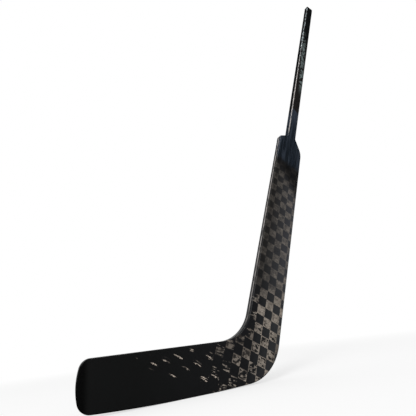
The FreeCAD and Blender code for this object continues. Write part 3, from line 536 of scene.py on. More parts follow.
@dataclass(frozen=True)
class Outline:
    """The stick's outline from the front, anticlockwise, in the lengths that its edge pieces have."""
    sizes: StickSizes
    tight: float = 1 * MM
    fine: float = 3 * MM
    coarse: float = 24 * MM

    @property
    def rocker_centre(self) -> Vector:
        """Centre of the sole's long curve."""
        return Vector((0, self.sizes.rocker_radius - self.sizes.sole_grind))

    @property
    def toe_side_angle(self) -> float:
        """Heading of the paddle's toe side, upwards."""
        sizes = self.sizes
        taper = (sizes.paddle_width - sizes.paddle_top_width) / (sizes.collar_start - sizes.rail_start)
        return math.pi / 2 - sizes.lean - math.atan(taper)

    def sole(self, start: float, end: float) -> list[EdgePoint]:
        """Walk along the sole between two places, towards the heel.

        Args:
            start: x of the first point.
            end: x of the last point.

        Returns:
            The points.
        """
        count = max(2, math.ceil((end - start) / self.fine))
        points = []
        for number in range(count + 1):
            x = start + (end - start) * number / count
            place = Vector((x, self.sizes.sole_height(x)))
            inward = (self.rocker_centre - place).normalized() if place.y > 0 else Vector((0, 1))
            points.append(EdgePoint(place, inward))
        return points

    def heel(self) -> list[EdgePoint]:
        """Walk from the end of the sole's band round the heel and up the back edge.

        Returns:
            The points.
        """
        sizes = self.sizes
        radius = sizes.heel_radius
        offset = Vector((sizes.heel_x, 0)) - sizes.back * radius - self.rocker_centre
        reach = offset.dot(sizes.up)
        along = -reach - math.sqrt(reach ** 2 - offset.length_squared + (sizes.rocker_radius - radius) ** 2)
        centre = self.rocker_centre + offset + sizes.up * along
        start = heading(self.rocker_centre, centre)
        contact = self.rocker_centre + turned(start) * sizes.rocker_radius
        bend = arc_points(centre, radius, start, -sizes.lean, self.fine)
        back = line_points(bend[-1].place, sizes.leaning(0, sizes.rail_start), -sizes.back, self.coarse)
        return chain(self.sole(sizes.block_x, contact.x), bend, back)

    def back_rail(self) -> list[EdgePoint]:
        """Walk up the back side of the paddle.

        Returns:
            The points.
        """
        sizes = self.sizes
        ends = (sizes.leaning(0, sizes.rail_start), sizes.leaning(0, sizes.collar_start))
        return line_points(*ends, -sizes.back, self.coarse)

    def toe_rail(self) -> list[EdgePoint]:
        """Walk down the toe side of the paddle.

        Returns:
            The points.
        """
        sizes = self.sizes
        start = sizes.leaning(-sizes.paddle_top_width, sizes.collar_start)
        end = sizes.leaning(-sizes.paddle_width, sizes.rail_start)
        return line_points(start, end, turned(self.toe_side_angle - math.pi / 2), self.coarse)

    def throat(self) -> list[EdgePoint]:
        """Walk from the toe side of the paddle through the hollow onto the blade's top.

        Returns:
            The points.
        """
        sizes = self.sizes
        radius = sizes.throat_radius
        start = sizes.leaning(-sizes.paddle_width, sizes.rail_start)
        outward = turned(self.toe_side_angle + math.pi / 2)
        up = turned(self.toe_side_angle)
        centre = start + outward * radius
        centre = centre + up * ((sizes.blade_height + radius - centre.y) / up.y)
        turn = self.toe_side_angle - math.pi / 2
        bend = arc_points(centre, radius, turn, -math.pi / 2, self.fine, hollow=True)
        top_end = Vector((sizes.block_x, sizes.blade_height))
        edge = line_points(start, bend[0].place, -outward, self.coarse)
        top = line_points(bend[-1].place, top_end, Vector((0, -1)), self.fine)
        return chain(edge, bend, top)

    def blade_top(self) -> list[EdgePoint]:
        """Walk along the top of the blade towards the toe.

        Returns:
            The points.
        """
        sizes = self.sizes
        ends = (Vector((x, sizes.blade_height)) for x in (sizes.block_x, sizes.toe_joint))
        return line_points(*ends, Vector((0, -1)), self.fine)

    def toe(self) -> list[EdgePoint]:
        """Walk round the toe, from the top of the blade to its sole.

        Returns:
            The points.
        """
        sizes = self.sizes
        bulge = Vector((sizes.toe_x + sizes.toe_radius, sizes.toe_centre_height))
        top_radius, sole_radius = sizes.toe_top_corner, sizes.toe_sole_corner
        height = sizes.blade_height - top_radius
        reach = math.sqrt((sizes.toe_radius - top_radius) ** 2 - (height - bulge.y) ** 2)
        top_centre = Vector((bulge.x - reach, height))
        sole_centre = circles_meet(bulge, sizes.toe_radius - sole_radius,
                                   self.rocker_centre, sizes.rocker_radius - sole_radius)
        top_turn = heading(bulge, top_centre)
        sole_turn = heading(bulge, sole_centre) + 2 * math.pi
        contact = heading(self.rocker_centre, sole_centre) + 2 * math.pi
        sole_start = self.rocker_centre + turned(contact) * sizes.rocker_radius
        joint = Vector((sizes.toe_joint, sizes.blade_height))
        top_start = Vector((top_centre.x, sizes.blade_height))
        return chain(
            line_points(joint, top_start, Vector((0, -1)), self.fine),
            arc_points(top_centre, top_radius, math.pi / 2, top_turn, self.fine),
            arc_points(bulge, sizes.toe_radius, top_turn, sole_turn, self.fine),
            arc_points(sole_centre, sole_radius, sole_turn, contact, self.fine),
            self.sole(sole_start.x, sizes.toe_joint),
        )

    def shoulder(self, side: Face) -> list[EdgePoint]:
        """Walk along one shoulder and its side of the neck, anticlockwise with the rest.

        Args:
            side: BACK for the back side, upwards, FRONT for the toe side, downwards.

        Returns:
            The points from the paddle's end to the neck's end, or the other way on the toe side.
        """
        sizes = self.sizes
        neck, hollow = sizes.neck_start, sizes.neck_fillet
        if side == Face.BACK:
            outer, nose, slope = 0.0, sizes.back_blend, sizes.back_slope
            inner = -sizes.shaft_inset + sizes.shaft_width / 2
        else:
            outer, nose, slope = sizes.paddle_top_width, sizes.toe_shoulder, sizes.toe_slope
            inner = sizes.shaft_inset + sizes.shaft_width / 2
        hollow_centre = Vector((inner + hollow, neck))
        slope_start = hollow_centre + turned(-math.pi / 2 - slope) * hollow
        slope_end_x = outer - nose * (1 - math.sin(slope))
        slope_end_y = slope_start.y - (slope_end_x - slope_start.x) * math.tan(slope)
        nose_centre = Vector((outer - nose, slope_end_y - nose * math.cos(slope)))
        inward, slope_turn = Vector((-1, 0)), -math.pi / 2 - slope
        foot, foot_end = Vector((outer, sizes.collar_start)), Vector((outer, nose_centre.y))
        neck_foot, neck_end = Vector((inner, neck)), Vector((inner, sizes.collar_end))
        local = chain(
            line_points(foot, foot_end, inward, self.fine),
            arc_points(nose_centre, nose, 0, math.pi / 2 - slope, self.tight),
            line_points(Vector((slope_end_x, slope_end_y)), slope_start, turned(slope_turn), self.fine),
            arc_points(hollow_centre, hollow, slope_turn, -math.pi, self.tight, hollow=True),
            line_points(neck_foot, neck_end, inward, self.coarse),
        )
        sign = 1 if side == Face.BACK else -1
        points = [
            EdgePoint(sizes.leaning(sign * point.place.x, point.place.y),
                      sizes.back * sign * point.inward.x + sizes.up * point.inward.y)
            for point in local
        ]
        return points if side == Face.BACK else points[::-1]


def link(name: str, mesh: bpy.types.Mesh) -> bpy.types.Object:
    """Put a mesh into the scene.

    Args:
        name: name of the object.
        mesh: its mesh.

    Returns:
        The object.
    """
    made = bpy.data.objects.new(name, mesh)
    bpy.context.scene.collection.objects.link(made)
    return made


def plain_mesh(made: bpy.types.Object) -> None:
    """Turn an object with its modifiers into one with a plain mesh.

    Args:
        made: the object.
    """
    graph = bpy.context.evaluated_depsgraph_get()
    mesh = bpy.data.meshes.new_from_object(made.evaluated_get(graph))
    made.modifiers.clear()
    made.data = mesh
    mesh.name = made.name


def dress(made: bpy.types.Object, material: bpy.types.Material, nodes: Iterable[str]) -> None:
    """Finish a piece: its material, its body, and hiding the solids that it stands for.

    Args:
        made: the piece.
        material: its finish.
        nodes: names of the solids that the piece replaces.
    """
    made.data.materials.clear()
    made.data.materials.append(material)
    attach(made, BODY)
    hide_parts(*nodes)
    log.info("%s: %d faces", made.name, len(made.data.polygons))


class SizedGroup:
    """A geometry tree with named inputs, which a modifier sets by their identifiers."""

    SECTION = "section"

    def __init__(self, name: str, sizes: Sequence[str], counts: Sequence[str]) -> None:
        """Start a tree with inputs for geometry, sizes, counts and material, and a geometry output.

        Args:
            name: name of the tree.
            sizes: names of its lengths and angles.
            counts: names of its whole numbers.
        """
        self.group = bpy.data.node_groups.new(name, "GeometryNodeTree")
        self.tree = Tree(self.group)
        kinds = {
            "geometry": "NodeSocketGeometry",
            **dict.fromkeys(sizes, "NodeSocketFloat"),
            **dict.fromkeys(counts, "NodeSocketInt"),
            "material": "NodeSocketMaterial",
        }
        face = self.group.interface
        self.identifiers = {
            label: face.new_socket(label, in_out="INPUT", socket_type=kind).identifier
            for label, kind in kinds.items()
        }
        face.new_socket("geometry", in_out="OUTPUT", socket_type=kinds["geometry"])
        self.given = self.group.nodes.new("NodeGroupInput")

    def get(self, label: str) -> Socket:
        """Read one of the tree's inputs."""
        return Socket(self.tree, self.given.outputs[label])

    def place(self) -> Socket:
        """Read each point's place."""
        return self.tree.node("GeometryNodeInputPosition")

    def named(self, name: str) -> Socket:
        """Read a stored vector."""
        settings = {"data_type": "FLOAT_VECTOR"}
        return self.tree.node("GeometryNodeInputNamedAttribute", settings, {"Name": name})

    def store(self, geometry: Socket, name: str, value: Socket, kind: str = "FLOAT_VECTOR") -> Socket:
        """Store a value of each point under a name.

        Args:
            geometry: what carries the points.
            name: name of the value.
            value: the value.
            kind: its kind.

        Returns:
            The geometry that carries the value.
        """
        settings = {"data_type": kind, "domain": "POINT"}
        inputs = {"Geometry": geometry, "Name": name, "Value": value}
        return self.tree.node("GeometryNodeStoreNamedAttribute", settings, inputs)

    def rounded(self, square: Socket, radius: Socket) -> Socket:
        """Round the corners of a section, and store where its points lie in it.

        Args:
            square: the section with sharp corners.
            radius: radius of its corners.

        Returns:
            The rounded section.
        """
        inputs = {"Curve": square, "Count": self.get("corner_steps"), "Radius": radius}
        round_off = self.tree.node("GeometryNodeFilletCurve", {"mode": "POLY"}, inputs)
        return self.store(round_off, self.SECTION, self.place())

    def sweep(self, path: Socket, profile: Socket, closed: bool) -> Socket:
        """Sweep a section along a path, with or without caps at its ends."""
        inputs = {"Curve": path, "Profile Curve": profile, "Fill Caps": closed}
        return self.tree.node("GeometryNodeCurveToMesh", inputs=inputs)

    def moved(self, geometry: Socket, place: Socket) -> Socket:
        """Move each point to its place."""
        return self.tree.node("GeometryNodeSetPosition", inputs={"Geometry": geometry, "Position": place})

    def close(self, geometry: Socket) -> None:
        """End the tree: smooth shading up to sharp edges, plain geometry, material, output.

        Args:
            geometry: what the tree has made.
        """
        tree = self.tree
        angle = tree.node("GeometryNodeInputMeshEdgeAngle", output="Unsigned Angle")
        sharp = tree.node("FunctionNodeCompare", {"operation": "GREATER_THAN"}, {0: angle, 1: SHARP_ANGLE})
        inputs = {"Geometry": geometry, "Distance": MERGE_DISTANCE}
        merged = tree.node("GeometryNodeMergeByDistance", inputs=inputs)
        inputs = {"Geometry": merged, "Selection": sharp, "Shade Smooth": False}
        shaded = tree.node("GeometryNodeSetShadeSmooth", {"domain": "EDGE"}, inputs)
        real = tree.node("GeometryNodeRealizeInstances", inputs={"Geometry": shaded})
        inputs = {"Geometry": real, "Material": self.get("material")}
        finished = tree.node("GeometryNodeSetMaterial", inputs=inputs)
        end = self.group.nodes.new("NodeGroupOutput")
        self.group.links.new(finished.output, end.inputs["geometry"])

    def apply(self, made: bpy.types.Object, values: dict[str, object]) -> None:
        """Put the tree on an object.

        Args:
            made: the object.
            values: value of each input by its name.
        """
        modifier = made.modifiers.new(self.group.name, "NODES")
        modifier.node_group = self.group
        for label, value in values.items():
            modifier[self.identifiers[label]] = value


class EdgeSweep(SizedGroup):
    """The rounded edge section swept along a length of outline, thinning with the blade."""

    SPINE, INWARD, DEPTH = "spine", "inward", "edge_depth"

    def __init__(self) -> None:
        """Build the tree."""
        rule_sizes = [item.name for item in fields(BladeRule)]
        super().__init__("edge_sweep", [*rule_sizes, "rounding", "width"], ["corner_steps"])
        tree = self.tree
        rule = BladeRule(*(self.get(label) for label in rule_sizes))
        rounding, width = self.get("rounding"), self.get("width")
        outline = tree.node("GeometryNodeMeshToCurve", inputs={0: self.get("geometry")})
        path = self.store(outline, self.SPINE, self.place())
        swept = self.sweep(path, self.profile(rule.face, rounding, width), closed=True)
        section, spine, inward = (self.named(name) for name in (self.SECTION, self.SPINE, self.INWARD))
        across, level = tree.part(section, "X"), tree.part(section, "Y")
        spine_x = tree.part(spine, "X")
        thinned = rule.thickness(spine_x) / rule.face
        inner = tree.math("GREATER_THAN", across, (rounding + width) / 2.0)
        depth = across * thinned * (1.0 - inner) + width * inner
        x = spine_x + tree.part(inward, "X") * depth
        y = rule.middle(x) + level * rule.thickness(x) / rule.face
        z = tree.part(spine, "Z") + tree.part(inward, "Z") * depth
        marked = self.store(swept, self.DEPTH, depth, "FLOAT")
        self.close(self.moved(marked, tree.vector(x, y, z)))

    def profile(self, deep: Socket, rounding: Socket, width: Socket) -> Socket:
        """Draw the edge section: square inside, two rounded corners outside.

        Args:
            deep: thickness from face to face.
            rounding: radius of the outer corners.
            width: how far the section reaches inside.

        Returns:
            The closed curve, depth along X and level along Y.
        """
        tree = self.tree
        half = deep / 2.0
        corners = ((0.0, -half), (width, -half), (width, half), (0.0, half))
        points = {f"Point {number}": tree.vector(*corner) for number, corner in enumerate(corners, start=1)}
        square = tree.node("GeometryNodeCurvePrimitiveQuadrilateral", {"mode": "POINTS"}, points)
        outside = tree.math("LESS_THAN", tree.part(self.place(), "X"), width / 2.0)
        return self.rounded(square, rounding * outside)


class TubeSweep(SizedGroup):
    """A rounded rectangular tube swept up the leaning shaft."""

    def __init__(self) -> None:
        """Build the tree."""
        sizes = ("width", "thickness", "corner", "start", "end", "inset", "heel_x", "lean")
        super().__init__("tube_sweep", sizes, ("corner_steps", "lengths"))
        tree = self.tree
        inputs = {"Width": self.get("width"), "Height": self.get("thickness")}
        square = tree.node("GeometryNodeCurvePrimitiveQuadrilateral", {"mode": "RECTANGLE"}, inputs)
        ends = {label.title(): tree.vector(0.0, 0.0, self.get(label)) for label in ("start", "end")}
        line = tree.node("GeometryNodeCurvePrimitiveLine", inputs=ends)
        inputs = {"Curve": line, "Count": self.get("lengths")}
        axis = tree.node("GeometryNodeResampleCurve", {"mode": "COUNT"}, inputs)
        swept = self.sweep(axis, self.rounded(square, self.get("corner")), closed=False)
        section = self.named(self.SECTION)
        across = tree.part(section, "X") - self.get("inset")
        along = tree.part(self.place(), "Z")
        inputs = {
            "Geometry": self.moved(swept, tree.vector(across, tree.part(section, "Y"), along)),
            "Translation": tree.vector(self.get("heel_x"), 0.0),
            "Rotation": tree.vector(0.0, self.get("lean")),
        }
        self.close(tree.node("GeometryNodeTransform", inputs=inputs))


class Spot:
    """The place that a laminate's shader colours, in millimetres.

    `along` runs up the shaft from the heel, `across` from the middle of the paddle to the toe side and
    `level` from the middle plane to the back. `x` and `z` are the frame's own.
    """

    def __init__(self, tree: Tree, sizes: StickSizes) -> None:
        """Measure the place by its object coordinates.

        Args:
            tree: the shader's tree.
            sizes: sizes of the stick.
        """
        self.tree = tree
        self.rule = sizes.rule
        self.place = tree.node("ShaderNodeTexCoord", output="Object")
        self.x, self.level, self.z = (tree.part(self.place, axis) * PER_MM for axis in "XYZ")
        up, back = sizes.up * PER_MM, sizes.back * PER_MM
        heel, middle = Vector((sizes.heel_x, 0)), sizes.paddle_width / 2 * PER_MM
        self.along = tree.dot(self.place, (up.x, 0, up.y)) - heel.dot(up)
        self.across = heel.dot(back) - middle - tree.dot(self.place, (back.x, 0, back.y))

    @property
    def side(self) -> Socket:
        """Distance from the middle of the paddle, to either side."""
        return self.tree.math("ABSOLUTE", self.across)

    @property
    def face(self) -> Socket:
        """Distance from the middle plane, to front or back."""
        return self.tree.math("ABSOLUTE", self.level)

    @property
    def behind(self) -> Socket:
        """Distance behind the nearer face of paddle and blade."""
        x = self.tree.part(self.place, "X")
        level = self.tree.math("ABSOLUTE", self.tree.part(self.place, "Y") - self.rule.middle(x))
        return (self.rule.thickness(x) / 2.0 - level) * PER_MM

    @property
    def depth(self) -> Socket:
        """Distance inside the outline, on an edge band."""
        return self.tree.attribute(EdgeSweep.DEPTH) * PER_MM

    def share(self, zone: Zone) -> Number:
        """Give the share that the place has in a zone.

        Args:
            zone: the zone.

        Returns:
            Its fades, multiplied.
        """
        share: Number = 1.0
        for measure, fade in zone.fades:
            value = getattr(self, measure)
            if fade.slant:
                value = value - self.across * fade.slant
            share = self.tree.fade(value, fade) * share
        return share

    def noise(self, grain: Grain, depth: Number | None = None) -> Socket:
        """Sample a noise.

        Args:
            grain: its grain.
            depth: place in its depth, which is the level if none is given.

        Returns:
            The noise, or the share of it that is seen.
        """
        layer = (self.level if depth is None else depth) * grain.depth
        vector = self.tree.vector(self.across * grain.across, self.along * grain.along, layer)
        noise = self.tree.noise(vector, grain.detail, grain.rough)
        return self.tree.fade(noise, grain.seen) if grain.seen else noise


# Where a clear coat lies: all over, or worn thin away from the faces
EVERYWHERE = Zone()
NEAR_FACES = Zone(behind=Ramp(0.3, 1.8, 1.0, 0.1))


@dataclass(frozen=True)
class Laminate:
    """Clear-coated carbon, with what its regions share: blue-black fibre along the shaft and painted
    highlights along its edges.

    Lengths are millimetres. So are the ends of a zone's fades.
    """
    sizes: StickSizes
    edge_black: Colour = srgb(14, 14, 15)
    neck_blue: Colour = srgb(21, 29, 37)
    neck_pale_and_sheen: Colour = srgb(50, 57, 68)
    # Pale colour of the painted highlight line and stripe along corner and sides
    wear_and_highlight: Colour = srgb(176, 170, 166)
    # Gloss and relief
    roughness: float = 0.34
    fibre_roughness: float = 0.16
    refraction: float = 1.5
    specular: float = 0.15
    relief: float = 0.12
    relief_height: float = 0.1
    coat_weight: float = 0.6
    coat_roughness: float = 0.16
    coat_zone: Zone = EVERYWHERE
    # Blue-black fibre
    streak: Grain = Grain(0.55, 0.012, 0.55)
    dark_streak: Fade = Fade(0.48, 0.34, last=0.7)
    pale_streak: Fade = Fade(0.45, 0.75, last=0.5)
    pale_patch: Grain = Grain(0.14, 0.008, 0.0, 2.0, 0.5, Fade(0.48, 0.64, last=0.7))
    # Painted sheen: paler at the upper end of the neck and on the back side
    painted_sheen_top: Zone = Zone(along=Fade(700.0, 790.0, last=0.6))
    painted_sheen_back: Zone = Zone(across=Fade(-24.0, -42.0, last=0.4))
    # Painted highlight stripe along the sides of the paddle, which fades out towards throat and heel
    highlight_stripe: Zone = Zone(level=(Fade(-4.4, -3.4), Fade(0.6, -0.4)), side=Fade(32.0, 39.0),
                        along=(Fade(68.0, 112.0), Ramp(70.0, 330.0, 0.45, 1.0)))
    highlight_stripe_breaks: Grain = Grain(0.1, 0.06, 0.25, seen=Ramp(0.38, 0.5, 0.1, 0.75))
    # Painted highlight line along the front corner of neck and shaft, on the toe side
    line: Zone = Zone(along=(Fade(690.0, 720.0), Ramp(850.0, 1100.0, 0.72, 0.4)))
    line_breaks: Grain = Grain(0.1, 0.03, 0.1, seen=Fade(0.34, 0.5))
    line_depth: float = 0.5
    NAME: ClassVar[str] = "laminate"

    def material(self) -> bpy.types.Material:
        """Make the finish.

        Returns:
            The material.
        """
        made, tree = blank_material(self.NAME)
        spot = Spot(tree, self.sizes)
        colour, fibre = self.colours(spot)
        relief = {"Strength": self.relief, "Distance": self.relief_height * MM, "Height": fibre}
        inputs = {
            "Base Color": colour,
            "Roughness": self.roughness + fibre * self.fibre_roughness,
            "Normal": tree.node("ShaderNodeBump", inputs=relief),
            "IOR": self.refraction,
            "Specular IOR Level": self.specular,
            "Coat Weight": spot.share(self.coat_zone) * self.coat_weight,
            "Coat Roughness": self.coat_roughness,
        }
        tree.shine(tree.node("ShaderNodeBsdfPrincipled", inputs=inputs))
        return made

    def colours(self, spot: Spot) -> tuple[Socket, Socket]:
        """Give the colour, and the fibre that also shapes gloss and relief."""
        raise NotImplementedError

    def fibre(self, spot: Spot, streak: Socket) -> Socket:
        """Colour the blue-black fibre, paler in streaks and patches, with painted sheen at its upper end and
        at the back.

        Args:
            spot: place that is coloured.
            streak: noise of the lengthwise fibre.

        Returns:
            The colour.
        """
        fade, mix = spot.tree.fade, spot.tree.mix
        # Painted sheen at the top and back, plus pale streaks and patches of the fibre
        pale_and_sheen = spot.share(self.painted_sheen_top) + spot.share(self.painted_sheen_back)
        pale_and_sheen = pale_and_sheen + fade(streak, self.pale_streak) + spot.noise(self.pale_patch)
        blue = mix(fade(streak, self.dark_streak), self.neck_blue, self.edge_black)
        return mix(pale_and_sheen, blue, self.neck_pale_and_sheen)

    def painted_side_highlight(self, spot: Spot) -> Socket:
        """Paint the highlight stripe along the sides of the paddle."""
        return spot.share(self.highlight_stripe) * spot.noise(self.highlight_stripe_breaks)

    def painted_corner_highlight(self, spot: Spot) -> Socket:
        """Paint the highlight line along the front corner of neck and shaft, on the toe side.

        Args:
            spot: place that is coloured.

        Returns:
            The share of painted highlight.
        """
        sizes, diagonal = self.sizes, math.sqrt(0.5)
        toe_side = sizes.shaft_inset - sizes.paddle_width / 2 + sizes.shaft_width / 2
        centre = (toe_side + sizes.face_thickness / 2 - 2 * sizes.edge_rounding) * diagonal
        crest = (centre + sizes.edge_rounding) * PER_MM
        near = Fade(crest - self.line_depth, crest - self.line_depth / 3)
        line = spot.tree.fade((spot.across - spot.level) * diagonal, near)
        return line * spot.noise(self.line_breaks) * spot.share(self.line)


@dataclass(frozen=True)
class NeckLaminate(Laminate):
    """Blue-black fibre along shoulders and neck, its coat worn thin on their sides."""
    coat_zone: Zone = NEAR_FACES
    NAME: ClassVar[str] = "laminate_neck"

    def colours(self, spot: Spot) -> tuple[Socket, Socket]:
        """Paint highlights on side and corner of the blue-black fibre.

        Args:
            spot: place that is coloured.

        Returns:
            The colour, and the streaks that also shape gloss and relief.
        """
        streak = spot.noise(self.streak)
        # Painted highlights: the line along the corner and the stripe along the sides
        wear_and_highlight = larger(self.painted_corner_highlight(spot), self.painted_side_highlight(spot))
        return spot.tree.mix(wear_and_highlight, self.fibre(spot, streak), self.wear_and_highlight), streak


@dataclass(frozen=True)
class ShaftLaminate(Laminate):
    """The shaft's laminate: blue-black below, brown-black above it and flaked towards the butt, with painted
    shade on its toe side and a painted highlight along its front corner.
    """
    shaft_brown: Colour = srgb(33, 31, 30)
    # Dark of the flaked top, also used as painted shade on the toe side
    flake_dark_and_shade: Colour = srgb(13, 16, 17)
    flake_grey: Colour = srgb(102, 114, 113)
    flake_bright: Colour = srgb(154, 167, 171)
    brown_zone: Zone = Zone(along=Fade(813.0, 815.0, slant=0.5))
    brown_streak: Fade = Fade(0.6, 0.3, last=0.6)
    dark_zone: Zone = Zone(along=Fade(1130.0, 1290.0))
    # Chips of chopped fibre
    chip_width: float = 6.5
    chip_length: float = 10.0
    chip_grain: float = 0.9
    chip_layer: float = 60.0
    chip_group: float = 0.5
    chip_base: float = 0.55
    chip_contrast: float = 0.9
    chip_detail: float = 2.0
    group_detail: float = 1.0
    # Band of grey chips that wanders across both faces
    band_height: float = 1130.0
    band_slant: float = 0.045
    band_sides: tuple[Fade, Fade] = (Fade(-13.0, -1.0), Fade(12.5, 3.5))
    band_zone: Zone = Zone(along=(Fade(890.0, 1000.0), Fade(1330.0, 1180.0)), face=Fade(6.0, 8.5))
    band_chip: Fade = Fade(0.28, 0.72)
    # Toe side: painted shade behind its corner, with bright chips before it
    painted_shade_zone: Zone = Zone(across=Fade(12.5, 14.5), level=Fade(-8.5, -6.5))
    bright_zone: Zone = Zone(across=Fade(10.5, 13.5), level=Fade(-2.0, -6.0))
    bright_upper: Zone = Zone(along=Fade(1100.0, 1150.0))
    bright_group: Fade = Fade(0.49, 0.55)
    bright_chip: Fade = Ramp(0.15, 0.6, 0.1, 1.0)
    NAME: ClassVar[str] = "laminate_shaft"

    def colours(self, spot: Spot) -> tuple[Socket, Socket]:
        """Lay the shaft's zones over each other, from the neck upwards.

        Args:
            spot: place that is coloured.

        Returns:
            The colour, and the streaks that also shape gloss and relief.
        """
        fade, mix = spot.tree.fade, spot.tree.mix
        streak = spot.noise(self.streak)
        brown = mix(fade(streak, self.brown_streak), self.shaft_brown, self.edge_black)
        colour = mix(spot.share(self.brown_zone), self.fibre(spot, streak), brown)
        colour = mix(spot.share(self.dark_zone), colour, self.flake_dark_and_shade)
        own, group = self.chips(spot)
        drift = spot.across - (spot.along - self.band_height) * self.band_slant
        back, toe = (fade(drift, side) for side in self.band_sides)
        band = spot.share(self.band_zone) * back * toe * fade(own, self.band_chip)
        colour = mix(band, colour, self.flake_grey)
        # Painted shade on the toe side, behind its corner
        colour = mix(spot.share(self.painted_shade_zone), colour, self.flake_dark_and_shade)
        upper = spot.share(self.bright_upper)
        bright = fade(group, self.bright_group) * fade(own, self.bright_chip)
        colour = mix(bright * upper * spot.share(self.bright_zone), colour, self.flake_bright)
        # Painted highlight along the front corner, below the bright chips
        return mix(self.painted_corner_highlight(spot) * (1.0 - upper), colour, self.wear_and_highlight), streak

    def chips(self, spot: Spot) -> tuple[Socket, Socket]:
        """Lay chips of chopped fibre, each with its own brightness and direction.

        Args:
            spot: place that is coloured.

        Returns:
            The chip's brightness, and the brightness of the group that it lies in.
        """
        tree, along, across, level = spot.tree, spot.along, spot.across, spot.level
        place = tree.vector(across / self.chip_width, along / self.chip_length, level / self.chip_width)
        cell, middle = tree.cells(place, "Color"), tree.cells(place, "Position")
        own, turn = tree.part(cell, "X"), tree.part(cell, "Y") * math.pi
        side = across * tree.math("COSINE", turn) + along * tree.math("SINE", turn)
        vector = tree.vector(side * self.chip_grain, own * self.chip_layer, level * self.chip_grain)
        brightness = own * (self.chip_base + tree.noise(vector, self.chip_detail) * self.chip_contrast)
        return brightness, tree.noise(tree.scaled(middle, self.chip_group), self.group_detail)


@dataclass(frozen=True)
class Check:
    """`across` and `along` are shares of the check from its middle, `number` counts it in both directions,
    `light` is 1 on a light check and 0 on a dark one, `lot` is the check's own random value, `rim` the way
    to its border and `ragged` a fine noise round 0.
    """
    across: Socket
    along: Socket
    number: tuple[Socket, Socket]
    light: Socket
    lot: Socket
    rim: Socket
    ragged: Socket


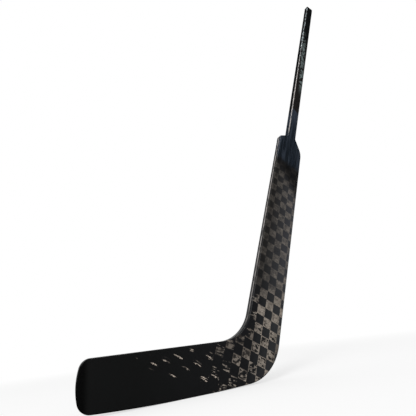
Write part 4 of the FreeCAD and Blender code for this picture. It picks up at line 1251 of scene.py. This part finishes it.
@dataclass(frozen=True)
class FaceLaminate(Laminate):
    """The faces' laminate: checks of spread tow that wear into torn strokes along the blade."""
    light_check: Colour = srgb(142, 133, 123)
    bright_fibre: Colour = srgb(196, 182, 168)
    worn_check: Colour = srgb(62, 57, 52)
    dark_check: Colour = srgb(25, 26, 28)
    # Dark checks lightened by painted sheen toward the back side
    painted_sheen_check: Colour = srgb(50, 51, 53)
    upper_check: Colour = srgb(33, 32, 31)
    upper_painted_sheen_check: Colour = srgb(59, 60, 64)
    blade_black: Colour = srgb(18, 19, 19)
    toe_black: Colour = srgb(3, 3, 3)
    # Checks
    column_pitch: float = 20.5
    row_pitch: float = 20.0
    column_start: float = 7.2
    row_start: float = 13.7
    skew: float = 0.122
    lot_draw: float = 3.0
    ragged: Grain = Grain(0.22, 0.22)
    ragged_reach: float = 2.4
    weft: Grain = Grain(0.08, 0.9, 40.0, rough=0.65)
    warp: Grain = Grain(0.9, 0.08, 70.0, rough=0.65)
    # Wear of the light checks, in stretches towards the toe and beside the throat
    heel_wear: Zone = Zone(x=Ramp(165.0, 110.0, 0.04, 0.17))
    root_wear: Zone = Zone(x=Ramp(110.0, 45.0, 0.0, 0.13))
    blade_wear: Zone = Zone(x=Ramp(45.0, 5.0, 0.0, 0.25))
    throat_wear: Zone = Zone(across=Ramp(5.0, 40.0, 0.0, 0.32), z=Ramp(55.0, 100.0),
                             along=Ramp(150.0, 220.0, 1.0, 0.0))
    lot_wear: float = 0.08
    tear: Grain = Grain(0.06, 0.24, 30.0)
    torn: Fade = Fade(0.24, 0.27)
    rim_wear: Zone = Zone(x=Ramp(160.0, 70.0, 0.0, 0.06))
    rim_ragged: float = 0.1
    rim_whole: Fade = Fade(-0.02, 0.0)
    # Strokes of fibre that are left on the blade, sized in checks
    stroke_zone: Zone = Zone(x=(Ramp(-112.0, -95.0, 0.0, 0.688), Fade(60.0, 40.0)), z=Fade(84.0, 74.0))
    stroke_sole: Fade = Fade(48.0, 68.0)
    stroke_sole_slope: float = 2.6
    stroke_draws: tuple[float, ...] = (15.0, 16.0, 18.0)
    stroke_place_draw: float = 10.0
    stroke_reach: float = 0.7
    stroke_bend: float = 0.9
    stroke_sag: float = 0.1
    stroke_wobble: float = 0.25
    stroke_half: float = 0.04
    stroke_taper: float = 0.15
    stroke_ragged: float = 0.14
    stroke_edge: Fade = Fade(0.0, 0.025)
    stroke_seen: Fade = Fade(0.0, 0.3)
    # Light checks: bright fibre, smudges, bites, and dimmer beside throat, toe side and heel
    bright: Fade = Fade(0.55, 0.9)
    bright_stroke: float = 0.42
    bright_rim: Fade = Fade(0.09, 0.0, last=0.12)
    smudge: Grain = Grain(0.17, 0.22, 55.0, 4.0, 0.7, Fade(0.42, 0.62, last=0.6))
    bite: Grain = Grain(0.1, 0.12, 90.0, seen=Fade(0.51, 0.545))
    bite_zone: Zone = Zone(along=Ramp(140.0, 80.0, 0.2, 1.0))
    bite_rim: Fade = Fade(0.04, 0.11)
    dim_zones: tuple[Zone, ...] = (
        Zone(x=Fade(150.0, 115.0), z=(Fade(40.0, 66.0), Fade(125.0, 95.0))),
        Zone(across=Fade(12.0, 30.0), along=Fade(125.0, 60.0), z=Ramp(40.0, 60.0)),
        Zone(across=Fade(-20.0, -36.0), along=Fade(125.0, 60.0)),
    )
    dim_share: float = 0.6
    # Fading of the light checks up the paddle, with painted sheen toward the back side
    fading: Zone = Zone(along=Ramp(130.0, 190.0, slant=-0.3))
    faded_light: float = 0.12
    faded_sheen: float = 0.3
    cloud: Grain = Grain(0.07, 0.06, 5.0, 4.0, 0.7, Ramp(0.35, 0.65, 0.35, 1.65))
    painted_sheen_zone: Zone = Zone(across=Ramp(34.0, -38.0))
    # Dark checks
    upper_zone: Zone = Zone(along=Ramp(140.0, 250.0))
    blade_zone: Zone = Zone(x=Ramp(90.0, -110.0))
    toe_zone: Zone = Zone(x=Fade(-183.0, -194.0, last=0.9))
    dark_warp: Fade = Fade(0.5, 0.2, last=0.4)
    # Upper end, where the weave darkens and the neck's fibre starts
    dark_end: Zone = Zone(along=Fade(490.0, 552.0, last=0.9, slant=1.2))
    neck_start: Fade = Fade(562.0, 590.0)
    neck_slant: float = 0.14
    wander: Grain = Grain(0.05, 0.05, detail=2.0, rough=0.5)
    wander_reach: float = 24.0
    NAME: ClassVar[str] = "laminate_face"

    def colours(self, spot: Spot) -> tuple[Socket, Socket]:
        """Lay the weave, and the neck's fibre above it.

        Args:
            spot: place that is coloured.

        Returns:
            The colour, and the grain of the fibre that also shapes gloss and relief.
        """
        fade, mix = spot.tree.fade, spot.tree.mix
        check = self.check(spot)
        weft, warp = spot.noise(self.weft, check.lot), spot.noise(self.warp, check.lot)
        # back is the share of painted sheen toward the back side
        stroke, back, faded = self.strokes(spot, check), spot.share(self.painted_sheen_zone), spot.share(self.fading)
        glow = (self.faded_light + back * self.faded_sheen) * spot.noise(self.cloud, 1.0)
        shown = check.light * larger(self.kept(spot, check), stroke) * (1.0 - faded + faded * glow)
        colour = mix(shown, self.ground(spot, back, warp), self.light_fibre(spot, check, weft, stroke))
        colour = mix(spot.share(self.dark_end), colour, self.edge_black)
        wander = (spot.noise(self.wander) - 0.5) * self.wander_reach
        above = fade(spot.along - spot.across * self.neck_slant + wander, self.neck_start)
        colour = mix(above, colour, self.fibre(spot, spot.noise(self.streak)))
        return colour, weft * check.light + warp * (1.0 - check.light)

    def check(self, spot: Spot) -> Check:
        """Args:
            spot: place that is coloured.

        Returns:
            The check.
        """
        tree, ragged = spot.tree, spot.noise(self.ragged) - 0.5
        reach = ragged * self.ragged_reach
        column = (spot.across + reach - self.column_start) / self.column_pitch
        row = (spot.along - spot.across * self.skew + reach - self.row_start) / self.row_pitch
        number = (tree.math("FLOOR", column), tree.math("FLOOR", row))
        across, along = column - number[0] - 0.5, row - number[1] - 0.5
        light = tree.math("PINGPONG", number[0] + number[1], 1.0)
        lot = tree.random(tree.vector(*number, self.lot_draw))
        rim = smaller(tree.math("PINGPONG", column, 0.5), tree.math("PINGPONG", row, 0.5))
        return Check(across, along, number, light, lot, rim, ragged)

    def kept(self, spot: Spot, check: Check) -> Socket:
        """Tell what wear has left of the light checks.

        Args:
            spot: place that is coloured.
            check: check that it lies in.

        Returns:
            The share that is left.
        """
        blade = spot.share(self.heel_wear) + spot.share(self.root_wear) + spot.share(self.blade_wear)
        worn = larger(blade, spot.share(self.throat_wear)) + (check.lot - 0.5) * self.lot_wear
        border = check.rim + check.ragged * self.rim_ragged - spot.share(self.rim_wear)
        whole = spot.tree.fade(border, self.rim_whole)
        return spot.tree.fade(spot.noise(self.tear, check.lot) - worn, self.torn) * whole

    def strokes(self, spot: Spot, check: Check) -> Socket:
        """Draw the thin strokes of fibre that are left where a light check has worn away.

        Args:
            spot: place that is coloured.
            check: check that it lies in.

        Returns:
            The share of fibre, 0 or 1 with soft edges.
        """
        tree, fade = spot.tree, spot.tree.fade
        chance = spot.share(self.stroke_zone)
        chance = chance * fade(spot.x + spot.z * self.stroke_sole_slope, self.stroke_sole)
        bow = check.across * check.across
        half = self.stroke_half - bow * self.stroke_taper + check.ragged * self.stroke_ragged
        marks = []
        for draw in self.stroke_draws:
            seen = tree.random(tree.vector(*check.number, draw))
            middle = tree.random(tree.vector(*check.number, draw + self.stroke_place_draw)) - 0.5
            bent = bow * (middle * self.stroke_bend + self.stroke_sag)
            away = check.along - middle * self.stroke_reach + bent + check.ragged * self.stroke_wobble
            drawn = fade(half - tree.math("ABSOLUTE", away), self.stroke_edge)
            marks.append(drawn * fade(chance - seen, self.stroke_seen))
        return larger(*marks)

    def light_fibre(self, spot: Spot, check: Check, weft: Socket, stroke: Socket) -> Socket:
        """Colour the light checks.

        Args:
            spot: place that is coloured.
            check: check that it lies in.
            weft: noise of the fibre across the shaft.
            stroke: share of a torn stroke, which stays bright.

        Returns:
            The colour.
        """
        fade, mix, sound = spot.tree.fade, spot.tree.mix, 1.0 - stroke
        bright = weft + stroke * self.bright_stroke + fade(check.rim, self.bright_rim)
        colour = mix(fade(bright, self.bright), self.light_check, self.bright_fibre)
        colour = mix(spot.noise(self.smudge, check.lot) * sound, colour, self.worn_check)
        bitten = spot.noise(self.bite, check.lot) * spot.share(self.bite_zone)
        colour = mix(bitten * fade(check.rim, self.bite_rim) * sound, colour, self.dark_check)
        dim = larger(*(spot.share(zone) for zone in self.dim_zones))
        return mix(dim * self.dim_share * sound, colour, self.worn_check)

    def ground(self, spot: Spot, back: Socket, warp: Socket) -> Socket:
        """Colour the dark checks, which are paler up the paddle, lighter with painted sheen toward the back
        side, and black at the toe.

        Args:
            spot: place that is coloured.
            back: share of the painted sheen toward the back side.
            warp: noise of the fibre along the shaft.

        Returns:
            The colour.
        """
        mix = spot.tree.mix
        lower = mix(back, self.dark_check, self.painted_sheen_check)
        upper = mix(back, self.upper_check, self.upper_painted_sheen_check)
        colour = mix(spot.share(self.upper_zone), lower, upper)
        colour = mix(spot.share(self.blade_zone), colour, self.blade_black)
        colour = mix(spot.share(self.toe_zone), colour, self.toe_black)
        return mix(spot.tree.fade(warp, self.dark_warp), colour, self.edge_black)


@dataclass(frozen=True)
class EdgeLaminate(FaceLaminate):
    """The weave run on over the edge bands, black and worn on their sides."""
    coat_zone: Zone = NEAR_FACES
    scuff_grey: Colour = srgb(70, 69, 67)
    border: Zone = Zone(depth=Fade(2.6, 1.5), across=Fade(10.0, -10.0))
    black_side: Zone = Zone(behind=Fade(2.5, 3.6))
    black_end: Zone = Zone(along=Fade(606.0, 516.0))
    scuff_zone: Zone = Zone(depth=Fade(1.8, 0.3), z=Ramp(14.0, 2.0, 0.35, 0.8))
    scuff_grain: float = 0.12
    scuff_detail: float = 5.0
    scuff_rough: float = 0.7
    scuffed: Fade = Fade(0.5, 0.66)
    NAME: ClassVar[str] = "laminate_edge"

    def colours(self, spot: Spot) -> tuple[Socket, Socket]:
        """Blacken and scuff the weave where it turns over the edge, and paint the highlight stripe on its
        sides.

        Args:
            spot: place that is coloured.

        Returns:
            The colour, and the grain of the fibre that also shapes gloss and relief.
        """
        tree, mix = spot.tree, spot.tree.mix
        colour, grain = super().colours(spot)
        black = larger(spot.share(self.border), spot.share(self.black_side)) * spot.share(self.black_end)
        colour = mix(black, colour, self.edge_black)
        # Painted highlight stripe along the paddle's sides
        colour = mix(self.painted_side_highlight(spot), colour, self.wear_and_highlight)
        place = tree.scaled(spot.place, PER_MM * self.scuff_grain)
        scuff = tree.fade(tree.noise(place, self.scuff_detail, self.scuff_rough), self.scuffed)
        return mix(scuff * spot.share(self.scuff_zone), colour, self.scuff_grey), grain


@dataclass(frozen=True)
class MouldedFinish:
    """Plain moulded material with a fine grain: the plug's plastic, foams and bare carbon inside."""
    name: str
    colour: Colour
    shade: Colour
    grain: float
    roughness: float
    relief: float = 0.2
    relief_height: float = 0.2
    cloud_detail: float = 4.0
    cloud_rough: float = 0.6
    shaded: Fade = Fade(0.3, 0.7)
    wear_and_highlight: Colour = srgb(128, 127, 124)
    rim_breaks: Fade = Ramp(0.4, 0.6, 0.05, 0.6)
    cloud_roughness: float = 0.15
    worn_roughness: float = 0.2
    RIM: ClassVar[str] = "rim_wear"

    def material(self) -> bpy.types.Material:
        """Make the finish.

        Returns:
            The material.
        """
        made, tree = blank_material(self.name)
        place = tree.scaled(tree.node("ShaderNodeTexCoord", output="Object"), PER_MM / self.grain)
        cloud = tree.noise(place, self.cloud_detail, self.cloud_rough)
        worn = tree.attribute(self.RIM) * tree.fade(cloud, self.rim_breaks)
        plain = tree.mix(tree.fade(cloud, self.shaded), self.colour, self.shade)
        height = tree.cells(place, "Distance")
        relief = {"Strength": self.relief, "Distance": self.relief_height * MM, "Height": height}
        inputs = {
            "Base Color": tree.mix(worn, plain, self.wear_and_highlight),
            "Roughness": self.roughness + cloud * self.cloud_roughness + worn * self.worn_roughness,
            "Normal": tree.node("ShaderNodeBump", inputs=relief),
        }
        tree.shine(tree.node("ShaderNodeBsdfPrincipled", inputs=inputs))
        return made


@dataclass
class Moulding:
    """Blade, heel and paddle: two skins and the edge bands between them."""
    sizes: StickSizes
    outline: Outline
    face: Laminate
    edge: Laminate
    corner_steps: int = 9
    grid: float = 9 * MM
    grid_margin: float = 4 * MM

    def build(self) -> None:
        """Build and dress every piece of the moulding."""
        outline = self.outline
        lengths = {
            "sole_edge": outline.sole(self.sizes.toe_joint, self.sizes.block_x),
            "heel_edge": outline.heel(),
            "back_side_rail": outline.back_rail(),
            "toe_side_rail": outline.toe_rail(),
            "throat_edge": outline.throat(),
            "blade_top_edge": outline.blade_top(),
            "toe_edge": outline.toe(),
        }
        edge_material, sweep = self.edge.material(), EdgeSweep()
        for node, points in lengths.items():
            band = self.band(f"{node}_moulding", points, sweep, edge_material)
            dress(band, edge_material, [node])
        face_material = self.face.material()
        rim = [point.inside(self.sizes.edge_width) for point in chain(*lengths.values())]
        for side, node in ((Face.FRONT, "front_skin"), (Face.BACK, "back_skin")):
            dress(self.skin(f"{node}_laminate", rim, side), face_material, [node])

    def band(self, name: str, points: Sequence[EdgePoint], sweep: EdgeSweep,
             material: bpy.types.Material) -> bpy.types.Object:
        """Sweep the edge section along a length of outline.

        Args:
            name: name of the piece.
            points: the length of outline.
            sweep: geometry tree that makes the sweep.
            material: finish of the piece.

        Returns:
            The piece, as a plain mesh.
        """
        sizes = self.sizes
        mesh = bpy.data.meshes.new(name)
        pairs = [(number, number + 1) for number in range(len(points) - 1)]
        mesh.from_pydata([(point.place.x, 0, point.place.y) for point in points], pairs, [])
        inward = mesh.attributes.new(EdgeSweep.INWARD, "FLOAT_VECTOR", "POINT")
        for item, point in zip(inward.data, points):
            item.vector = (point.inward.x, 0, point.inward.y)
        made = link(name, mesh)
        sweep.apply(made, {
            **asdict(sizes.rule),
            "rounding": sizes.edge_rounding,
            "width": sizes.edge_width,
            "corner_steps": self.corner_steps,
            "material": material,
        })
        plain_mesh(made)
        shape = bmesh.new()
        shape.from_mesh(made.data)
        outward_mesh(shape, made.data)
        return made

    def skin(self, name: str, rim: Sequence[Vector], side: Face) -> bpy.types.Object:
        """Fill one face inside the edge bands and give it the sheet's thickness.

        Args:
            name: name of the piece.
            rim: outline of the face, as (x, z) points.
            side: which of the two faces.

        Returns:
            The piece, as a plain mesh.
        """
        rule = self.sizes.rule
        filled, faces = fill(rim, self.grid, self.grid_margin)
        places = []
        for point in filled:
            level = rule.middle(point.x) + side.value * rule.thickness(point.x) / 2
            places.append((point.x, level, point.y))
        mesh = bpy.data.meshes.new(name)
        mesh.from_pydata(places, [], faces)
        if sum(polygon.normal.y * polygon.area for polygon in mesh.polygons) * side.value < 0:
            mesh.flip_normals()
        mesh.shade_smooth()
        made = link(name, mesh)
        thicken(made, self.sizes.skin_thickness)
        return made


def fill(rim: Sequence[Vector], grid: float, margin: float) -> tuple[list[Vector], list[list[int]]]:
    """Fill a closed outline with triangles over a grid of inner points.

    Args:
        rim: points of the outline in order.
        grid: distance between inner points.
        margin: least distance of an inner point from the outline.

    Returns:
        The points and the triangles.
    """
    count = len(rim)
    sides = [(rim[number], rim[(number + 1) % count]) for number in range(count)]
    low = Vector((min(point.x for point in rim), min(point.y for point in rim)))
    high = Vector((max(point.x for point in rim), max(point.y for point in rim)))
    inner = []
    for column in range(int((high.x - low.x) / grid) + 1):
        for row in range(int((high.y - low.y) / grid) + 1):
            shift = grid / 2 if row % 2 else 0
            spot = low + Vector((column * grid + shift, row * grid))
            if inside(spot, sides) and clearance(spot, sides) > margin:
                inner.append(spot)
    result = delaunay_2d_cdt([*rim, *inner], [], [list(range(count))], 1, MERGE_DISTANCE)
    return list(result[0]), [list(face) for face in result[2]]


def inside(spot: Vector, sides: Sequence[tuple[Vector, Vector]]) -> bool:
    """Say whether a point lies inside a closed outline.

    Args:
        spot: the point.
        sides: the outline's sides.

    Returns:
        Whether it lies inside.
    """
    crossed = False
    for start, end in sides:
        if (start.y > spot.y) != (end.y > spot.y):
            place = start.x + (spot.y - start.y) / (end.y - start.y) * (end.x - start.x)
            crossed ^= spot.x < place
    return crossed


def clearance(spot: Vector, sides: Sequence[tuple[Vector, Vector]]) -> float:
    """Measure a point's distance from an outline.

    Args:
        spot: the point.
        sides: the outline's sides.

    Returns:
        The distance from the nearest side.
    """
    nearest = []
    for start, end in sides:
        share = intersect_point_line(spot, start, end)[1]
        nearest.append((start.lerp(end, min(max(share, 0), 1)) - spot).length)
    return min(nearest)


def outward_mesh(shape: bmesh.types.BMesh, mesh: bpy.types.Mesh) -> None:
    """Turn a shape's faces outwards, write it into a mesh and free it.

    Args:
        shape: the shape.
        mesh: the mesh.
    """
    bmesh.ops.recalc_face_normals(shape, faces=shape.faces)
    shape.to_mesh(mesh)
    shape.free()


def join_rows(shape: bmesh.types.BMesh, rows: Sequence[Sequence[bmesh.types.BMVert]], closed: bool) -> None:
    """Join rows of points, each with the next, by faces of four corners.

    Args:
        shape: mesh that holds the points.
        rows: the rows, of the same length.
        closed: whether each row runs round to its first point.
    """
    count = len(rows[0])
    for row, following in zip(rows, rows[1:]):
        for number in range(count if closed else count - 1):
            after = (number + 1) % count
            shape.faces.new((row[number], row[after], following[after], following[number]))


def thicken(made: bpy.types.Object, wall: float) -> None:
    """Give an open sheet its wall, inwards, and keep the rim crisp.

    Args:
        made: the sheet.
        wall: thickness of the wall.
    """
    modifier = made.modifiers.new("wall", "SOLIDIFY")
    modifier.thickness = wall
    modifier.offset = -1
    modifier.use_even_offset = True
    plain_mesh(made)
    made.data.set_sharp_from_angle(angle=SHARP_ANGLE)


@dataclass
class Neck:
    """The shoulders and the neck, moulded in one shell round the spine."""
    sizes: StickSizes
    outline: Outline
    finish: Laminate
    corner_steps: int = 9
    grid: float = 8 * MM
    grid_margin: float = 3 * MM

    def build(self) -> None:
        """Build and dress the shell."""
        sizes = self.sizes
        sides = [self.outline.shoulder(side) for side in (Face.BACK, Face.FRONT)]
        shape = bmesh.new()
        for points in sides:
            self.rim(shape, points)
        plate = [point.inside(sizes.edge_width) for point in (*sides[0], *sides[1])]
        filled, faces = fill(plate, self.grid, self.grid_margin)
        for level in (-sizes.face_thickness / 2, sizes.face_thickness / 2):
            corners = [shape.verts.new((point.x, level, point.y)) for point in filled]
            for face in faces:
                shape.faces.new([corners[number] for number in face])
        bmesh.ops.remove_doubles(shape, verts=shape.verts, dist=MERGE_DISTANCE)
        mesh = bpy.data.meshes.new("neck_collar_moulding")
        outward_mesh(shape, mesh)
        if sum(polygon.normal.y * polygon.center.y for polygon in mesh.polygons) < 0:
            mesh.flip_normals()
        mesh.shade_smooth()
        made = link(mesh.name, mesh)
        thicken(made, sizes.sleeve_wall)
        dress(made, self.finish.material(), ["neck_collar"])

    def section(self) -> list[tuple[float, float]]:
        """Draw the edge's half section, from the front face round to the back.

        Returns:
            Depth and level of its points.
        """
        radius, half = self.sizes.edge_rounding, self.sizes.face_thickness / 2
        points = [(self.sizes.edge_width, -half)]
        for end in (Face.FRONT, Face.BACK):
            turns = range(self.corner_steps + 1) if end == Face.FRONT else range(self.corner_steps, -1, -1)
            for turn in turns:
                angle = turn / self.corner_steps * math.pi / 2
                level = end.value * (half - radius * (1 - math.cos(angle)))
                points.append((radius * (1 - math.sin(angle)), level))
        return [*points, (self.sizes.edge_width, half)]

    def rim(self, shape: bmesh.types.BMesh, points: Sequence[EdgePoint]) -> None:
        """Add one rounded side of the shell.

        Args:
            shape: mesh that the side goes into.
            points: outline of the side.
        """
        section = self.section()
        rows = []
        for point in points:
            spots = [(point.inside(depth), level) for depth, level in section]
            rows.append([shape.verts.new((spot.x, level, spot.y)) for spot, level in spots])
        join_rows(shape, rows, closed=False)


@dataclass
class Shaft:
    """The shaft's outer sleeve and the plug in its end."""
    sizes: StickSizes
    finish: Laminate
    plug_finish: MouldedFinish
    corner_steps: int = 9
    lengths: int = 60
    bevel_steps: int = 5

    def build(self) -> None:
        """Build and dress sleeve and plug."""
        self.sleeve()
        self.plug()

    def sleeve(self) -> None:
        """Sweep the sleeve from the neck to the plug."""
        sizes = self.sizes
        material = self.finish.material()
        made = link("shaft_sleeve_laminate", bpy.data.meshes.new("shaft_sleeve_laminate"))
        TubeSweep().apply(made, {
            "width": sizes.shaft_width,
            "thickness": sizes.face_thickness,
            "corner": sizes.edge_rounding,
            "start": sizes.collar_end,
            "end": sizes.stick_length - sizes.plug_cap,
            "inset": sizes.shaft_inset,
            "heel_x": sizes.heel_x,
            "lean": sizes.lean,
            "corner_steps": self.corner_steps,
            "lengths": self.lengths,
            "material": material,
        })
        plain_mesh(made)
        axis = sizes.leaning(-sizes.shaft_inset, sizes.stick_length)
        first = made.data.polygons[0]
        toward = first.center - Vector((axis.x, 0, axis.y))
        up = Vector((sizes.up.x, 0, sizes.up.y))
        if first.normal.dot(toward - up * toward.dot(up)) < 0:
            made.data.flip_normals()
        thicken(made, sizes.sleeve_wall)
        dress(made, material, ["shaft_sleeve"])

    def plug(self) -> None:
        """Loft the plug: a stem inside the tube and a cap with a soft rim."""
        sizes = self.sizes
        cap_start, end = sizes.stick_length - sizes.plug_cap, sizes.stick_length
        rings = [(sizes.plug_fit, cap_start - sizes.plug_stem), (sizes.plug_fit, cap_start), (0.0, cap_start)]
        wear = [0.0] * len(rings)
        for step in range(self.bevel_steps + 1):
            angle = step / self.bevel_steps * math.pi / 2
            inset = sizes.plug_bevel * (1 - math.cos(angle))
            rings.append((inset, end - sizes.plug_bevel * (1 - math.sin(angle))))
            wear.append(math.sin(2 * angle))
        shape = bmesh.new()
        rows = [[shape.verts.new(spot) for spot in self.ring(*ring)] for ring in rings]
        join_rows(shape, rows, closed=True)
        for end_row in (rows[0], rows[-1]):
            shape.faces.new(end_row)
        mesh = bpy.data.meshes.new("butt_plug_moulding")
        count = len(rows[0])
        outward_mesh(shape, mesh)
        wear_and_highlight = mesh.attributes.new(MouldedFinish.RIM, "FLOAT", "POINT")
        wear_and_highlight.data.foreach_set("value", [value for value in wear for _ in range(count)])
        mesh.shade_smooth()
        mesh.set_sharp_from_angle(angle=SHARP_ANGLE)
        dress(link(mesh.name, mesh), self.plug_finish.material(), ["butt_plug"])

    def ring(self, inset: float, along: float) -> list[Place]:
        """Place the shaft's section, drawn in by an inset, at a height on the shaft.

        Args:
            inset: distance inside the shaft's surface.
            along: height on the shaft.

        Returns:
            The points of the ring.
        """
        sizes = self.sizes
        radius = sizes.edge_rounding - inset
        half_width = sizes.shaft_width / 2 - sizes.edge_rounding
        half_depth = sizes.face_thickness / 2 - sizes.edge_rounding
        points = []
        for quarter, (sign_x, sign_y) in enumerate(((1, 1), (-1, 1), (-1, -1), (1, -1))):
            for step in range(self.corner_steps + 1):
                outward = turned((quarter + step / self.corner_steps) * math.pi / 2) * radius
                across = sign_x * half_width + outward.x - sizes.shaft_inset
                spot = sizes.leaning(across, along)
                points.append((spot.x, sign_y * half_depth + outward.y, spot.y))
        return points


@dataclass
class Insides:
    """The solids inside the moulding, which keep their own meshes."""
    finishes: dict[str, MouldedFinish] = field(default_factory=lambda: {
        "block": MouldedFinish("block_foam", srgb(193, 184, 162), srgb(160, 150, 126), 1.6, 0.7),
        "core": MouldedFinish("core_foam", srgb(238, 232, 217), srgb(220, 212, 192), 0.9, 0.8),
        "carbon": MouldedFinish("bare_carbon", srgb(62, 62, 64), srgb(40, 41, 43), 2.0, 0.5, 0.1),
    })
    nodes: dict[str, tuple[str, ...]] = field(default_factory=lambda: {
        "block": ("heel_block",),
        "core": ("blade_upper_core", "blade_lower_core", "toe_side_core", "back_side_core"),
        "carbon": ("blade_rib", "spine_tube"),
    })

    def build(self) -> None:
        """Give every inner solid its finish."""
        for kind, finish in self.finishes.items():
            material = finish.material()
            for node in self.nodes[kind]:
                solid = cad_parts[node]
                solid.data.materials.clear()
                solid.data.materials.append(material)
                log.info("%s: %s", node, finish.name)


@dataclass(frozen=True)
class PhotoCamera:
    """The camera that took the photograph, seen as a square picture."""
    place: Place = (-0.30380, -0.62241, 0.09077)
    azimuth: float = math.radians(-31.84)
    elevation: float = math.radians(-22.04)
    roll: float = math.radians(7.13)
    lens: float = 28.65
    sensor: float = 36.0
    shift: tuple[float, float] = (-0.0023, -0.0055)
    clip: tuple[float, float] = (0.01, 200.0)

    def build(self) -> None:
        """Set the scene's camera."""
        data = bpy.data.cameras.new("photo_camera")
        data.sensor_fit = "HORIZONTAL"
        data.sensor_width = self.sensor
        data.lens = self.lens
        data.shift_x, data.shift_y = self.shift
        data.clip_start, data.clip_end = self.clip
        made = bpy.data.objects.new("photo_camera", data)
        bpy.context.scene.collection.objects.link(made)
        back = Vector((
            math.sin(self.azimuth) * math.cos(self.elevation),
            -math.cos(self.azimuth) * math.cos(self.elevation),
            math.sin(self.elevation),
        ))
        right = Vector((math.cos(self.azimuth), math.sin(self.azimuth), 0))
        right.rotate(Matrix.Rotation(-self.roll, 3, back))
        up = back.cross(right)
        made.matrix_world = Matrix((right, up, back)).transposed().to_4x4()
        made.location = self.place
        bpy.context.scene.camera = made


@dataclass(frozen=True)
class SoftBox:
    """One soft lamp of the studio."""
    name: str
    place: Place
    aim: Place
    width: float
    height: float
    power: float

    def build(self) -> None:
        """Hang the lamp and turn it to its aim."""
        data = bpy.data.lights.new(self.name, "AREA")
        data.shape = "RECTANGLE"
        data.size, data.size_y = self.width, self.height
        data.energy = self.power
        made = bpy.data.objects.new(self.name, data)
        made.location = self.place
        way = Vector(self.aim) - Vector(self.place)
        made.rotation_euler = way.to_track_quat("-Z", "Y").to_euler()
        bpy.context.scene.collection.objects.link(made)


def stage_sheet(name: str, corner: Place, sides: tuple[Place, Place],
                material: bpy.types.Material) -> bpy.types.Object:
    """Make a flat sheet of the stage.

    Args:
        name: name of the sheet.
        corner: its first corner.
        sides: its two sides from there.
        material: its finish.

    Returns:
        The sheet.
    """
    start, (first, second) = Vector(corner), (Vector(side) for side in sides)
    mesh = bpy.data.meshes.new(name)
    mesh.from_pydata([start, start + first, start + first + second, start + second], [], [(0, 1, 2, 3)])
    mesh.materials.append(material)
    made = link(name, mesh)
    return made


@dataclass(frozen=True)
class Card:
    """A card beside the stick that only its reflections see."""
    name: str
    corner: Place
    sides: tuple[Place, Place]
    shade: float

    def build(self) -> None:
        """Set the card up."""
        material, tree = blank_material(self.name)
        colour = (self.shade, self.shade, self.shade, 1.0)
        tree.shine(tree.node("ShaderNodeBsdfDiffuse", inputs={"Color": colour}))
        made = stage_sheet(self.name, self.corner, self.sides, material)
        for sight in ("camera", "diffuse", "transmission", "shadow", "volume_scatter"):
            setattr(made, f"visible_{sight}", False)


@dataclass
class Studio:
    """A pale floor, a white background, soft lamps and cards for the reflections."""
    floor_size: float = 60.0
    floor_drop: float = 0.3 * MM
    floor_colour: Colour = (0.9, 0.9, 0.9, 1.0)
    floor_glow: float = 0.6
    floor_end: Fade = Fade(0.8, 2.4)
    white: Colour = (1.0, 1.0, 1.0, 1.0)
    ambient: float = 0.7
    wide: ClassVar[Place] = (24, 0, 0)
    deep: ClassVar[Place] = (0, 8, 0)
    high: ClassVar[Place] = (0, 0, 21)
    cards: tuple[Card, ...] = (
        Card("front_card", (-12, -4, -1), (wide, high), 0.02),
        Card("toe_card", (-8, -4, -1), (deep, high), 0.04),
        Card("heel_card", (8, -4, -1), (deep, high), 0.05),
        Card("ceiling_card", (-12, -4, 5), (wide, deep), 0.02),
        Card("floor_cloth", (-12, -4, -0.2 * MM), (wide, deep), 0.02),
    )
    lamps: tuple[SoftBox, ...] = (
        SoftBox("key", (-2.4, -2.2, 2.4), (0.3, 0.0, 0.6), 2.0, 2.4, 44.0),
        SoftBox("strip", (-0.05, -1.3, 4.2), (-0.86, -0.05, 0.4), 1.8, 0.5, 36.0),
    )

    def build(self) -> None:
        """Build the studio."""
        bpy.context.scene.view_settings.view_transform = "Standard"
        self.floor()
        self.background()
        for item in (*self.cards, *self.lamps):
            item.build()

    def floor(self) -> None:
        """Lay the pale floor under the sole; far out it runs into the white background."""
        material, tree = blank_material("pale_floor")
        place = tree.node("ShaderNodeTexCoord", output="Object")
        away = tree.node("ShaderNodeVectorMath", {"operation": "LENGTH"}, {0: place}, "Value")
        glow = self.floor_glow + tree.fade(away, self.floor_end) * (1.0 - self.floor_glow)
        seen = tree.node("ShaderNodeLightPath", output="Is Camera Ray")
        matte = tree.node("ShaderNodeBsdfDiffuse", inputs={"Color": self.floor_colour})
        white = tree.node("ShaderNodeEmission", inputs={"Color": self.white, "Strength": 1.0})
        tree.shine(tree.node("ShaderNodeMixShader", inputs={0: glow * seen, 1: matte, 2: white}))
        size = self.floor_size
        corner = (-size / 2, -size / 2, -self.floor_drop)
        stage_sheet("floor", corner, ((size, 0, 0), (0, size, 0)), material)

    def background(self) -> None:
        """Show white behind the stick, and light it softly from all round."""
        world = bpy.data.worlds.new("studio")
        world.use_nodes = True
        world.node_tree.nodes.clear()
        bpy.context.scene.world = world
        tree = Tree(world.node_tree)
        rays = ("Camera", "Glossy", "Transmission")
        shown = larger(*(tree.node("ShaderNodeLightPath", output=f"Is {ray} Ray") for ray in rays))
        strength = shown + (1.0 - shown) * self.ambient
        shader = tree.node("ShaderNodeBackground", inputs={"Color": self.white, "Strength": strength})
        tree.node("ShaderNodeOutputWorld", inputs={"Surface": shader})


def main() -> None:
    """Build the stick's looks and the studio."""
    logging.basicConfig(level=logging.INFO, format="%(name)s %(message)s")
    sizes = StickSizes()
    outline = Outline(sizes)
    plug = MouldedFinish("plug_plastic", srgb(30, 31, 33), srgb(22, 23, 24), 0.8, 0.45)
    assemblies = (
        Moulding(sizes, outline, FaceLaminate(sizes), EdgeLaminate(sizes)),
        Neck(sizes, outline, NeckLaminate(sizes)),
        Shaft(sizes, ShaftLaminate(sizes), plug),
        Insides(),
        PhotoCamera(),
        Studio(),
    )
    for assembly in assemblies:
        assembly.build()


if __name__ == "__main__":
    main()
